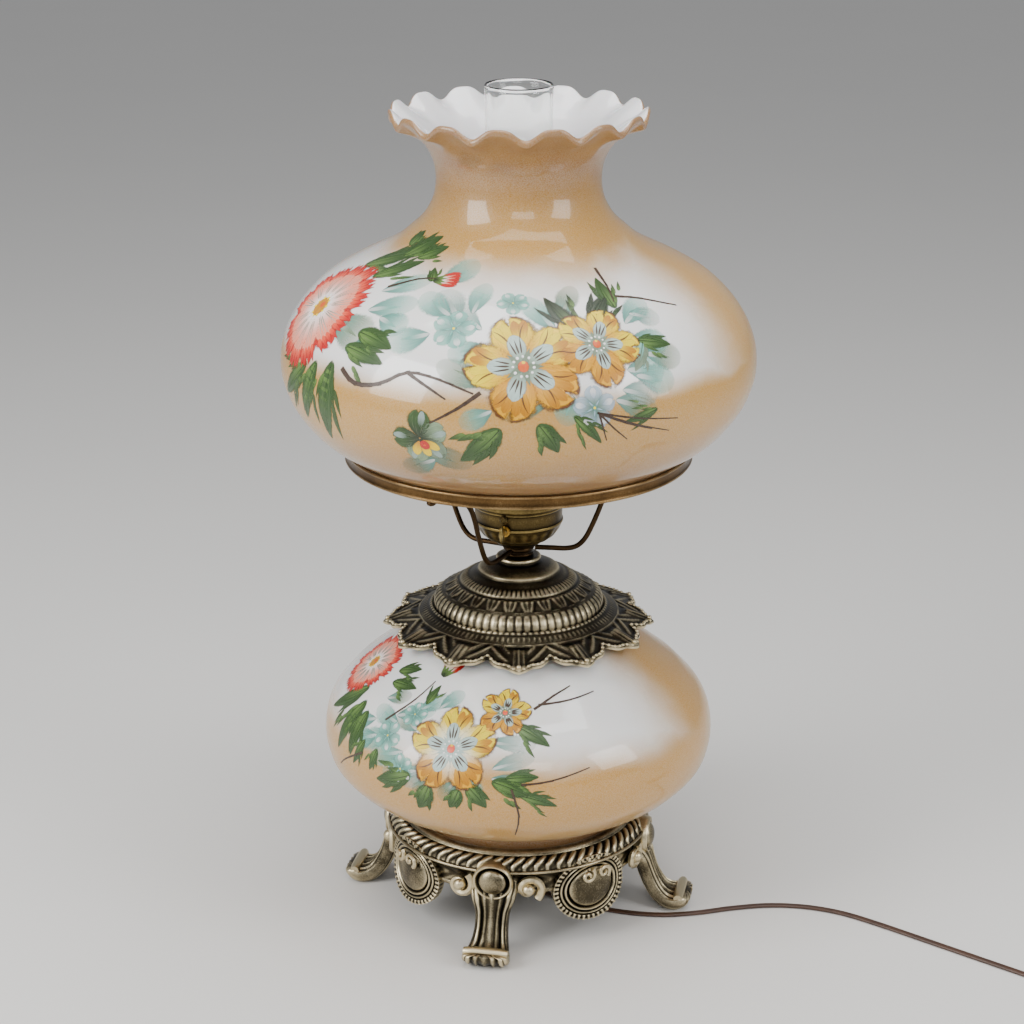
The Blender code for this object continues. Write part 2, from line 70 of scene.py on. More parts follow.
def ramp(value: Array, low: float, high: float) -> Array:
    """Returns 0 below low, 1 above high and a soft step between."""
    share = np.clip((value - low) / (high - low), 0.0, 1.0)
    return share * share * (3.0 - 2.0 * share)


def flowing(points: Sequence[Sequence[float]], detail: int = 4) -> Array:
    """Draws a smooth line through points.

    Args:
        points: The points, where one given twice stays a corner.
        detail: How many steps each stretch gets.

    Returns:
        The points of the smooth line.
    """
    p = np.array([points[0], *points, points[-1]], float)
    t = np.linspace(0.0, 1.0, detail, endpoint=False)[:, None]
    runs = []
    for a, b, c, d in zip(p, p[1:], p[2:], p[3:]):
        bent = (2 * a - 5 * b + 4 * c - d) * t**2 + (3 * b - a - 3 * c + d) * t**3
        runs.append(0.5 * (2 * b + (c - a) * t + bent))
    line = np.concatenate([*runs, p[-1:]])
    gaps = np.linalg.norm(np.diff(line, axis=0), axis=1)
    return line[np.concatenate([[True], gaps > 1e-6])]


def turning(angle: float) -> Array:
    """Returns the matrix that turns rows of points round the upright axis by degrees."""
    c, s = math.cos(math.radians(angle)), math.sin(math.radians(angle))
    return np.array([[c, s, 0.0], [-s, c, 0.0], [0.0, 0.0, 1.0]])


def boxy(value: Array, power: float) -> Array:
    """Returns the power of a value from -1 to 1 with its sign kept, which squares a circle."""
    return np.sign(value) * np.abs(value) ** power


def bell(value: Array, middle: float, width: float) -> Array:
    """Returns 1 at the middle, falling off smoothly over a width either way."""
    return np.exp(-(((value - middle) / width) ** 2))


def dome(share: Array, edge: float) -> Array:
    """Returns a dome's height from 1 at share 0 down to 0 at the edge."""
    return np.sqrt(np.maximum(0.0, 1.0 - (share / edge) ** 2))


def station(share: Array, count: int) -> Array:
    """Returns which of a count of stations each share along falls on."""
    return np.rint(share * (count - 1)).astype(int)


class Wire:
    """One node output that takes part in arithmetic as a Python value."""

    def __init__(self, tree: bpy.types.NodeTree, socket: bpy.types.NodeSocket) -> None:
        """Keeps the tree and the output that this value stands for."""
        self.tree = tree
        self.socket = socket

    def math(self, operation: str, *others: Reading, first: Reading | None = None) -> "Wire":
        """Adds a Math node.

        Args:
            operation: The node's operation.
            others: The values after this one.
            first: A value that goes in front of this one.

        Returns:
            The node's output.
        """
        node = self.tree.nodes.new("ShaderNodeMath")
        node.operation = operation
        values = (self, *others) if first is None else (first, self, *others)
        for entry, value in zip(node.inputs, values):
            if isinstance(value, Wire):
                self.tree.links.new(value.socket, entry)
            else:
                entry.default_value = value
        return Wire(self.tree, node.outputs[0])

    def __add__(self, other: Reading) -> "Wire":
        """Returns the sum."""
        return self.math("ADD", other)

    def __sub__(self, other: Reading) -> "Wire":
        """Returns the difference."""
        return self.math("SUBTRACT", other)

    def __rsub__(self, other: float) -> "Wire":
        """Returns a number less this value."""
        return self.math("SUBTRACT", first=other)

    def __mul__(self, other: Reading) -> "Wire":
        """Returns the product."""
        return self.math("MULTIPLY", other)

    __radd__ = __add__

    def smooth(self, low: float, high: float) -> "Wire":
        """Returns 0 below low, 1 above high and a soft step between, either way round."""
        node = self.tree.nodes.new("ShaderNodeMapRange")
        node.interpolation_type = "SMOOTHSTEP"
        self.tree.links.new(self.socket, node.inputs["Value"])
        node.inputs["From Min"].default_value = min(low, high)
        node.inputs["From Max"].default_value = max(low, high)
        node.inputs["To Min"].default_value = 0.0 if low < high else 1.0
        node.inputs["To Max"].default_value = 1.0 if low < high else 0.0
        return Wire(self.tree, node.outputs[0])


class Recipe:
    """A material being made: its shader, its position wires and the nodes between."""

    def __init__(self, name: str, **constants: object) -> None:
        """Starts the material.

        Args:
            name: The material's name.
            constants: Shader inputs that stay the same all over, underscores for spaces.
        """
        self.material = bpy.data.materials.new(f"{name}_finish")
        self.material.use_nodes = True
        self.tree = self.material.node_tree
        self.shader = self.tree.nodes["Principled BSDF"]
        for title, value in constants.items():
            self.shader.inputs[title.replace("_", " ")].default_value = value
        self.place = self.node("ShaderNodeTexCoord", {}, {}, "Object")
        split = {"Vector": self.place}
        self.x, self.y, self.z = (
            self.node("ShaderNodeSeparateXYZ", {}, split, axis) for axis in "XYZ"
        )

    def node(self, kind: str, settings: dict, sockets: dict, output: int | str = 0) -> Wire:
        """Adds one node.

        Args:
            kind: The node's type.
            settings: Its properties, with stops for a colour ramp.
            sockets: Its inputs, wired or set.
            output: Which output to return.

        Returns:
            The chosen output.
        """
        node = self.tree.nodes.new(kind)
        for title, value in settings.items():
            if title == "stops":
                self.fill(node.color_ramp.elements, value)
            else:
                setattr(node, title, value)
        for title, value in sockets.items():
            if isinstance(value, Wire):
                self.tree.links.new(value.socket, node.inputs[title])
            else:
                node.inputs[title].default_value = value
        return Wire(self.tree, node.outputs[output])

    @staticmethod
    def fill(elements: object, stops: Sequence[tuple[float, Colour]]) -> None:
        """Sets a ramp's stops, place and colour by turn."""
        while len(elements) < len(stops):
            elements.new(1.0)
        for element, (position, colour) in zip(elements, stops):
            element.position = position
            element.color = colour

    def mix(self, share: Reading, low: object, high: object, blend: str = "MIX") -> Wire:
        """Returns low where share is 0 and high where it is 1, as a colour."""
        settings = {"data_type": "RGBA", "blend_type": blend}
        return self.node("ShaderNodeMix", settings, {0: share, 6: low, 7: high}, 2)

    def noise(self, scale: float, detail: float = 3.0, rough: float = 0.55) -> Wire:
        """Returns cloudy noise, scale being how many cells there are in a metre."""
        values = {"Vector": self.place, "Scale": scale, "Detail": detail, "Roughness": rough}
        return self.node("ShaderNodeTexNoise", {}, values)

    def attribute(self, name: str, output: str = "Fac") -> Wire:
        """Returns a value stored on the mesh."""
        return self.node("ShaderNodeAttribute", {"attribute_name": name}, {}, output)

    def azimuth(self) -> Wire:
        """Returns the angle round the upright axis in radians, 0 in front, more to the right."""
        return self.x.math("ARCTAN2", 0.0 - self.y)

    def feed(self, **wires: Wire) -> None:
        """Wires varying values into the shader, underscores for spaces."""
        for title, wire in wires.items():
            self.tree.links.new(wire.socket, self.shader.inputs[title.replace("_", " ")])

    def bump(self, height: Wire, depth: float, strength: float = 1.0) -> None:
        """Wires a bump into the shader, depth being metres from height 0 to 1."""
        values = {"Height": height, "Distance": depth, "Strength": strength}
        self.feed(Normal=self.node("ShaderNodeBump", {}, values))


@dataclass(frozen=True)
class Metal:
    """Old metal: dark in the hollows and bright where hands have rubbed it."""

    name: str
    dark: Colour
    middle: Colour
    bright: Colour
    rough: float = 0.34
    grain: float = 900.0
    dent: float = 0.00012

    def make(self) -> bpy.types.Material:
        """Returns the material, which reads the mesh's worn attribute."""
        recipe = Recipe(self.name, Metallic=1.0)
        cloud = recipe.noise(46.0, 4.0)
        grain = recipe.noise(self.grain, 3.0, 0.7)
        level = recipe.attribute("worn") + (cloud - 0.5) * 0.42 + (grain - 0.5) * 0.3
        stops = [(0.22, self.dark), (0.5, self.middle), (0.8, self.bright)]
        colour = recipe.node("ShaderNodeValToRGB", {"stops": stops}, {"Fac": level})
        dust = recipe.noise(130.0, 5.0, 0.7).smooth(0.6, 0.78) * 0.35
        recipe.feed(
            Base_Color=recipe.mix(dust, colour, self.dark),
            Roughness=(cloud - 0.5) * 0.3 + (grain - 0.5) * 0.12 + (self.rough + 0.06),
        )
        recipe.bump(grain * 0.6 + cloud, self.dent)
        return recipe.material


@dataclass(frozen=True)
class MilkGlass:
    """Opal glass with an airbrushed ground: a pale patch inside tan edges, the tan deeper towards
    the lower and upper ends, partly darker airbrush and partly painted shade.
    """

    name: str
    low: tuple[float, float]
    high: tuple[float, float]
    sides: tuple[float, float]
    tan: Colour
    deep_and_shade: Colour
    deep_and_shade_low: tuple[float, float]
    deep_and_shade_high: tuple[float, float]
    milk: Colour = rgb(243, 241, 236)
    blend: float = 0.28

    def make(self) -> bpy.types.Material:
        """Returns the material, which reads the mesh's outside attribute."""
        recipe = Recipe(
            self.name,
            Subsurface_Weight=0.12,
            Subsurface_Scale=0.004,
            Coat_Weight=0.8,
            Coat_Roughness=0.04,
            IOR=1.5,
        )
        drift = (recipe.noise(14.0, 3.0) - 0.5) * 0.022
        height = recipe.z + drift
        round_about = recipe.azimuth() + drift * 14.0
        ground = height.smooth(*self.low).math("MAXIMUM", height.smooth(*self.high))
        left, right = (math.radians(a) for a in self.sides)
        for edge, soft in ((right, self.blend), (left, -self.blend)):
            ground = ground.math("MAXIMUM", round_about.smooth(edge - soft, edge + soft))
        speck = recipe.noise(1500.0, 2.0, 0.8).smooth(0.42, 0.62)
        ground = ground * (0.86 + speck * 0.14)
        # Deeper tan low and high on the glass: partly darker airbrush, partly painted shade on the
        # undersides and under overhangs.
        shade = height.smooth(*self.deep_and_shade_low).math("MAXIMUM", height.smooth(*self.deep_and_shade_high))
        shade = shade * (0.6 + recipe.noise(60.0, 4.0) * 0.5)
        tan = recipe.mix(shade, self.tan, self.deep_and_shade)
        cool = recipe.mix(recipe.noise(26.0, 2.0) * 0.5, self.milk, rgb(226, 226, 228))
        colour = recipe.mix(ground, cool, tan)
        out = recipe.attribute("outside")
        recipe.feed(
            Base_Color=recipe.mix(out, rgb(240, 238, 238), colour),
            Roughness=0.16 + ground * out * 0.22 + recipe.noise(300.0) * 0.05,
        )
        recipe.bump(recipe.noise(22.0, 2.0) + speck * ground * out * 0.02, 0.0005, 0.35)
        return recipe.material


@dataclass(frozen=True)
class Enamel:
    """Hand-laid enamel: the mesh's own paint colour with brush streaks and feathered edges."""

    name: str
    feather: float = 0.3

    def make(self) -> bpy.types.Material:
        """Returns the material, which reads the paint and body attributes and the first UV map."""
        recipe = Recipe(self.name, Roughness=0.42, Coat_Weight=0.25, Coat_Roughness=0.2)
        spot = recipe.node("ShaderNodeTexCoord", {}, {}, "UV")
        along = recipe.node("ShaderNodeSeparateXYZ", {}, {"Vector": spot}, "X")
        across = recipe.node("ShaderNodeSeparateXYZ", {}, {"Vector": spot}, "Y")
        rim = 1.0 - (across * 2.0 - 1.0).math("ABSOLUTE")
        tip = (1.0 - (along * 2.0 - 1.0).math("ABSOLUTE")) * 2.5
        ragged = (recipe.noise(420.0, 3.0, 0.7) - 0.5) * 0.35
        edge = (rim.math("MINIMUM", tip) + ragged).smooth(0.0, self.feather)
        brushed = recipe.node("ShaderNodeVectorMath", {"operation": "MULTIPLY"}, {
            0: spot, 1: (1.6, 22.0, 1.0)})
        streak = recipe.node("ShaderNodeTexNoise", {}, {
            "Vector": brushed, "Scale": 1.0, "Detail": 3.0, "Roughness": 0.6})
        paint = recipe.attribute("paint", "Color")
        lighter = recipe.mix(streak.smooth(0.5, 0.8) * 0.18, paint, rgb(250, 240, 190))
        darker = recipe.mix(streak.smooth(0.5, 0.25) * 0.35, lighter, rgb(80, 50, 20))
        recipe.feed(
            Base_Color=darker,
            Alpha=edge * recipe.attribute("body") * (0.9 + streak * 0.35),
        )
        recipe.bump(streak + edge, 0.00012, 0.6)
        return recipe.material


@dataclass(frozen=True)
class ClearGlass:
    """Blown clear glass with a faint wave in it."""

    name: str
    rough: float = 0.02

    def make(self) -> bpy.types.Material:
        """Returns the material."""
        recipe = Recipe(self.name, Transmission_Weight=1.0, IOR=1.46)
        wave = recipe.noise(18.0, 1.0)
        film = recipe.noise(240.0, 5.0, 0.7).smooth(0.55, 0.8)
        recipe.feed(
            Base_Color=recipe.mix(film * 0.4, rgb(252, 253, 252), rgb(232, 236, 232)),
            Roughness=self.rough + film * 0.06,
        )
        recipe.bump(wave, 0.0006, 0.4)
        return recipe.material


@dataclass(frozen=True)
class Matte:
    """Moulded, pressed or woven stuff with a fine grain and a little soiling."""

    name: str
    colour: Colour
    soiled: Colour
    rough: float = 0.5
    grain: float = 700.0
    dent: float = 0.00015
    gloss: float = 0.1

    def make(self) -> bpy.types.Material:
        """Returns the material."""
        recipe = Recipe(self.name, Coat_Weight=self.gloss, Coat_Roughness=0.2)
        cloud = recipe.noise(60.0, 4.0)
        grain = recipe.noise(self.grain, 3.0, 0.65)
        share = cloud.smooth(0.35, 0.75) * 0.6 + grain * 0.25
        recipe.feed(
            Base_Color=recipe.mix(share, self.colour, self.soiled),
            Roughness=(grain - 0.5) * 0.3 + cloud * 0.1 + self.rough,
        )
        recipe.bump(grain, self.dent)
        return recipe.material


class Finish(Enum):
    """Every finish on the lamp, by the record's material slot."""

    ANTIQUED = Metal(
        "antiqued_casting", rgb(15, 13, 10), rgb(76, 69, 54), rgb(212, 198, 162), 0.3
    )
    RING = Metal("bronzed_ring", rgb(34, 24, 13), rgb(106, 80, 48), rgb(190, 160, 114), 0.28)
    WIRE = Metal("bronze_wire", rgb(10, 8, 6), rgb(34, 25, 16), rgb(74, 56, 36), 0.34)
    BRASS = Metal("aged_brass", rgb(22, 17, 9), rgb(84, 70, 42), rgb(168, 146, 90), 0.3)
    PLAIN = Metal("plain_brass", rgb(90, 66, 26), rgb(190, 150, 70), rgb(240, 210, 130), 0.3)
    STEEL = Metal("plated_steel", rgb(70, 70, 68), rgb(150, 150, 146), rgb(214, 214, 210), 0.36)
    # For both painted glasses the last colour and its two height ranges give the deeper tan low
    # and high on the glass, partly darker airbrush and partly painted shade.
    SHADE = MilkGlass(
        "painted_glass", (0.472, 0.452), (0.516, 0.540), (-104.0, 58.0),
        rgb(190, 138, 26), rgb(130, 84, 12), (0.432, 0.376), (0.545, 0.60),
    )
    GLOBE = MilkGlass(
        "painted_glass_globe", (0.186, 0.158), (0.246, 0.26), (-112.0, 52.0),
        rgb(186, 134, 28), rgb(124, 80, 14), (0.118, 0.086), (0.222, 0.25),
    )
    ENAMEL = Enamel("enamel_paint")
    CLEAR = ClearGlass("clear_glass")
    FROSTED = Matte("frosted_glass", rgb(240, 240, 236), rgb(222, 220, 212), 0.38, gloss=0.5)
    PHENOLIC = Matte("phenolic", rgb(26, 22, 20), rgb(48, 42, 36), 0.35)
    FELT = Matte("felt", rgb(70, 66, 58), rgb(38, 36, 32), 0.92, 1400.0, 0.0004, 0.0)
    CORD = Matte("brown_cord", rgb(74, 46, 28), rgb(50, 30, 18), 0.42, 500.0, 0.00008, 0.2)
    PLUG = Matte("brown_plug", rgb(62, 38, 24), rgb(38, 24, 16), 0.4, 600.0, 0.0001, 0.2)
    TIE = Matte("paper_tie", rgb(28, 28, 28), rgb(52, 50, 48), 0.6, 900.0, 0.0001, 0.0)

    def material(self) -> bpy.types.Material:
        """Returns the finish's material, made the first time it is asked for."""
        made = [m for m in bpy.data.materials if m.get("finish") == self.name]
        if made:
            return made[0]
        material = self.value.make()
        material["finish"] = self.name
        return material


class Bench:
    """Mesh work: primitives, turning, sweeping, reliefs and finishing."""

    @staticmethod
    def primitive(name: str, operator: Callable, **settings: object) -> Piece:
        """Adds a primitive, nothing else selected, and returns it with its place in its mesh."""
        bpy.ops.object.select_all(action="DESELECT")
        operator(**settings)
        piece = bpy.context.object
        piece.name = name
        piece.data.name = name
        bpy.ops.object.transform_apply(location=True, rotation=True, scale=True)
        return piece

    @staticmethod
    def close(capped: bool = False) -> None:
        """Merges the active piece's doubles, fills its holes if capped and turns normals out."""
        bpy.ops.object.mode_set(mode="EDIT")
        bpy.ops.mesh.select_all(action="SELECT")
        bpy.ops.mesh.remove_doubles(threshold=MERGE_GAP)
        if capped:
            bpy.ops.mesh.select_all(action="DESELECT")
            bpy.ops.mesh.select_non_manifold()
            bpy.ops.mesh.fill_holes(sides=0)
            bpy.ops.mesh.select_all(action="SELECT")
        bpy.ops.mesh.normals_make_consistent(inside=False)
        bpy.ops.object.mode_set(mode="OBJECT")

    @staticmethod
    def points(piece: Piece) -> Array:
        """Returns the mesh's points in metres."""
        flat = np.zeros(len(piece.data.vertices) * 3)
        piece.data.vertices.foreach_get("co", flat)
        return flat.reshape(-1, 3)

    @staticmethod
    def move(piece: Piece, points: Array) -> None:
        """Sets the mesh's points in metres."""
        piece.data.vertices.foreach_set("co", points.astype(np.float32).ravel())
        piece.data.update()

    @classmethod
    def lathe(cls, name: str, outline: Array, steps: int = 192) -> Piece:
        """Turns an outline round the upright axis.

        Args:
            name: The piece's name.
            outline: Radius and height in millimetres, the last point at the first for a ring.
            steps: How many sides the turned piece gets.

        Returns:
            The turned piece.
        """
        line = np.array(outline, float) * MM
        piece = cls.primitive(name, bpy.ops.mesh.primitive_plane_add, size=0.001)
        bpy.ops.object.mode_set(mode="EDIT")
        bpy.ops.mesh.merge(type="CENTER")
        bpy.ops.transform.translate(value=(line[0, 0], 0.0, line[0, 1]))
        for radius, height in np.diff(line, axis=0):
            move = {"value": (radius, 0.0, height)}
            bpy.ops.mesh.extrude_region_move(TRANSFORM_OT_translate=move)
        bpy.ops.mesh.select_all(action="SELECT")
        bpy.ops.mesh.spin(steps=steps, angle=math.tau, center=(0, 0, 0), axis=(0, 0, 1))
        bpy.ops.object.mode_set(mode="OBJECT")
        cls.close()
        return piece

    @classmethod
    def grid(
        cls, name: str, counts: tuple[int, int], place: Callable, closed: bool = True
    ) -> Piece:
        """Lays a grid where a rule puts it.

        Args:
            name: The piece's name.
            counts: Faces along and across.
            place: Gives points in millimetres from u and v, each 0 to 1.
            closed: Whether seams are merged and open ends filled.

        Returns:
            The laid piece, with the grid's own UV map.
        """
        settings = {"x_subdivisions": counts[0], "y_subdivisions": counts[1], "size": 1.0}
        piece = cls.primitive(name, bpy.ops.mesh.primitive_grid_add, **settings)
        flat = cls.points(piece)
        cls.move(piece, np.array(place(flat[:, 0] + 0.5, flat[:, 1] + 0.5)) * MM)
        if closed:
            cls.close(capped=True)
        return piece

    @classmethod
    def sweep(
        cls,
        name: str,
        path: Array,
        section: Callable[[Array, Array], Pair],
        around: int = 12,
        side: Sequence[float] | None = None,
    ) -> Piece:
        """Carries a closed section along a path.

        Args:
            name: The piece's name.
            path: Points in millimetres.
            section: Gives sideways and upward offsets from the share along and the angle round.
            around: How many sides the section gets.
            side: The sideways direction where the path runs upright.

        Returns:
            The swept piece with filled ends.
        """
        count = len(path)
        along = np.gradient(path, axis=0)
        along /= np.linalg.norm(along, axis=1)[:, None]
        lateral = np.cross((0.0, 0.0, 1.0), along)
        if side is not None:
            steep = np.abs(along[:, 2]) > 0.97
            lateral[steep] = side[:3]
        if side is not None and len(side) == 4:
            lateral[:] = side[:3]
        lateral -= along * (lateral * along).sum(1)[:, None]
        lateral /= np.linalg.norm(lateral, axis=1)[:, None]
        upward = np.cross(along, lateral)

        def place(u: Array, v: Array) -> Array:
            """Returns the swept points."""
            step = station(u, count)
            a, b = section(u, v * math.tau)
            return path[step] + lateral[step] * a[:, None] + upward[step] * b[:, None]

        return cls.grid(name, (count - 1, around), place)

    @classmethod
    def relief(cls, piece: Piece, rule: Callable) -> None:
        """Moves points by a rule on radius, angle and height in millimetres and radians."""
        flat = cls.points(piece) / MM
        radius = np.hypot(flat[:, 0], flat[:, 1])
        angle = np.arctan2(flat[:, 1], flat[:, 0])
        radius, angle, height = rule(radius, angle, flat[:, 2])
        cls.move(
            piece,
            np.stack([radius * np.cos(angle), radius * np.sin(angle), height], 1) * MM,
        )

    @staticmethod
    def mark(piece: Piece, name: str, values: Array) -> None:
        """Stores one number on each of the mesh's points."""
        layer = piece.data.attributes.new(name, "FLOAT", "POINT")
        layer.data.foreach_set("value", values.astype(np.float32))

    @classmethod
    def wear(cls, piece: Piece, reach: int = 2, gain: float = 3.2) -> None:
        """Stores how far each point stands proud of its neighbours, 0.5 where it is level."""
        mesh = piece.data
        count = len(mesh.vertices)
        ends = np.zeros(len(mesh.edges) * 2, int)
        mesh.edges.foreach_get("vertices", ends)
        ends = ends.reshape(-1, 2)
        normals = np.zeros(count * 3)
        mesh.vertices.foreach_get("normal", normals)
        spots = cls.points(piece)
        span = np.linalg.norm(spots[ends[:, 0]] - spots[ends[:, 1]], axis=1)
        size = np.zeros(count)
        total = np.zeros((count, 3))
        number = np.zeros(count)
        for a, b in ((0, 1), (1, 0)):
            np.add.at(total, ends[:, a], spots[ends[:, b]])
            np.add.at(number, ends[:, a], 1)
            np.add.at(size, ends[:, a], span)
        number = np.maximum(number, 1)
        lift = ((spots - total / number[:, None]) * normals.reshape(-1, 3)).sum(1)
        level = np.clip(0.5 + gain * lift / np.maximum(size / number, 1e-6), 0.0, 1.0)
        for _ in range(reach):
            spread = np.zeros(count)
            for a, b in ((0, 1), (1, 0)):
                np.add.at(spread, ends[:, a], level[ends[:, b]])
            level = 0.5 * level + 0.5 * spread / number
        cls.mark(piece, "worn", level)

    @classmethod
    def dress(cls, piece: Piece, finish: Finish, body: str, slot: str, *nodes: str) -> Piece:
        """Finishes a piece: shading, wear, material, what it rides on and what it stands for."""
        bpy.ops.object.select_all(action="DESELECT")
        piece.select_set(True)
        bpy.context.view_layer.objects.active = piece
        bpy.ops.object.shade_smooth_by_angle(angle=math.radians(SMOOTH_ANGLE))
        if isinstance(finish.value, Metal):
            cls.wear(piece)
        piece.data.materials.clear()
        piece.data.materials.append(finish.material())
        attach(piece, body)
        if nodes:
            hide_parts(*nodes)
        LOG.info("%s: %d faces", piece.name, len(piece.data.polygons))
        return piece

    @staticmethod
    def join(pieces: Sequence[Piece]) -> Piece:
        """Joins pieces into the first of them."""
        bpy.ops.object.select_all(action="DESELECT")
        for piece in pieces:
            piece.select_set(True)
        bpy.context.view_layer.objects.active = pieces[0]
        bpy.ops.object.join()
        return pieces[0]

    @classmethod
    def ring_of(cls, piece: Piece, angles: Sequence[float]) -> Piece:
        """Copies a piece round the upright axis to more angles in degrees, and joins them."""
        flat = cls.points(piece)
        pieces = [piece]
        for angle in angles:
            copy = piece.copy()
            copy.data = piece.data.copy()
            bpy.context.collection.objects.link(copy)
            cls.move(copy, flat @ turning(angle))
            pieces.append(copy)
        return cls.join(pieces)

    @classmethod
    def ball(cls, name: str, centre: Sequence[float], size: Sequence[float]) -> Piece:
        """Adds a small egg, its centre and half sizes in millimetres."""
        piece = cls.primitive(
            name, bpy.ops.mesh.primitive_ico_sphere_add, subdivisions=2, radius=1.0
        )
        cls.move(piece, (cls.points(piece) * np.array(size) + np.array(centre)) * MM)
        return piece


@dataclass
class Studio:
    """Camera, floor and soft lights."""

    camera_place: tuple[float, float, float] = (-0.005, -1.871, 0.963)
    tilt: float = 71.0
    lens: float = 91.4
    floor_size: float = 16.0

    def build(self) -> None:
        """Adds the camera, the pale floor and the lights."""
        bpy.ops.object.camera_add(
            location=self.camera_place, rotation=(math.radians(self.tilt), 0.0, 0.0)
        )
        camera = bpy.context.object
        camera.name = "camera"
        camera.data.lens = self.lens
        bpy.context.scene.camera = camera
        floor = Bench.primitive("floor", bpy.ops.mesh.primitive_plane_add, size=self.floor_size)
        floor.data.materials.append(self.floor_finish())
        self.light("window_left", (-1.5, -0.95, 1.15), (0.95, 1.3), 34.0)
        self.light("window_right", (1.5, -0.9, 1.0), (0.8, 1.0), 15.0)
        self.light("overhead", (0.1, -0.2, 1.9), (1.4, 1.4), 26.0)
        self.light("front_fill", (0.2, -2.2, 1.6), (1.2, 0.7), 12.0)
        world = bpy.context.scene.world or bpy.data.worlds.new("world")
        bpy.context.scene.world = world
        world.use_nodes = True
        world.node_tree.nodes["Background"].inputs["Color"].default_value = rgb(236, 238, 242)
        world.node_tree.nodes["Background"].inputs["Strength"].default_value = 0.42

    @staticmethod
    def floor_finish() -> bpy.types.Material:
        """Returns the floor's plain pale finish."""
        recipe = Recipe("floor_finish", Roughness=0.6)
        cloud = recipe.noise(3.0) * 0.3
        recipe.feed(Base_Color=recipe.mix(cloud, rgb(226, 224, 220), rgb(216, 214, 210)))
        return recipe.material

    @staticmethod
    def light(name: str, place: Sequence[float], size: tuple[float, float], power: float) -> None:
        """Adds a soft box that faces the lamp's middle."""
        bpy.ops.object.light_add(type="AREA", location=place)
        lamp = bpy.context.object
        lamp.name = name
        lamp.data.shape = "RECTANGLE"
        lamp.data.size = size[0]
        lamp.data.size_y = size[1]
        lamp.data.energy = power
        aim = Vector(LAMP_MIDDLE) - Vector(place)
        lamp.rotation_euler = aim.to_track_quat("-Z", "Y").to_euler()


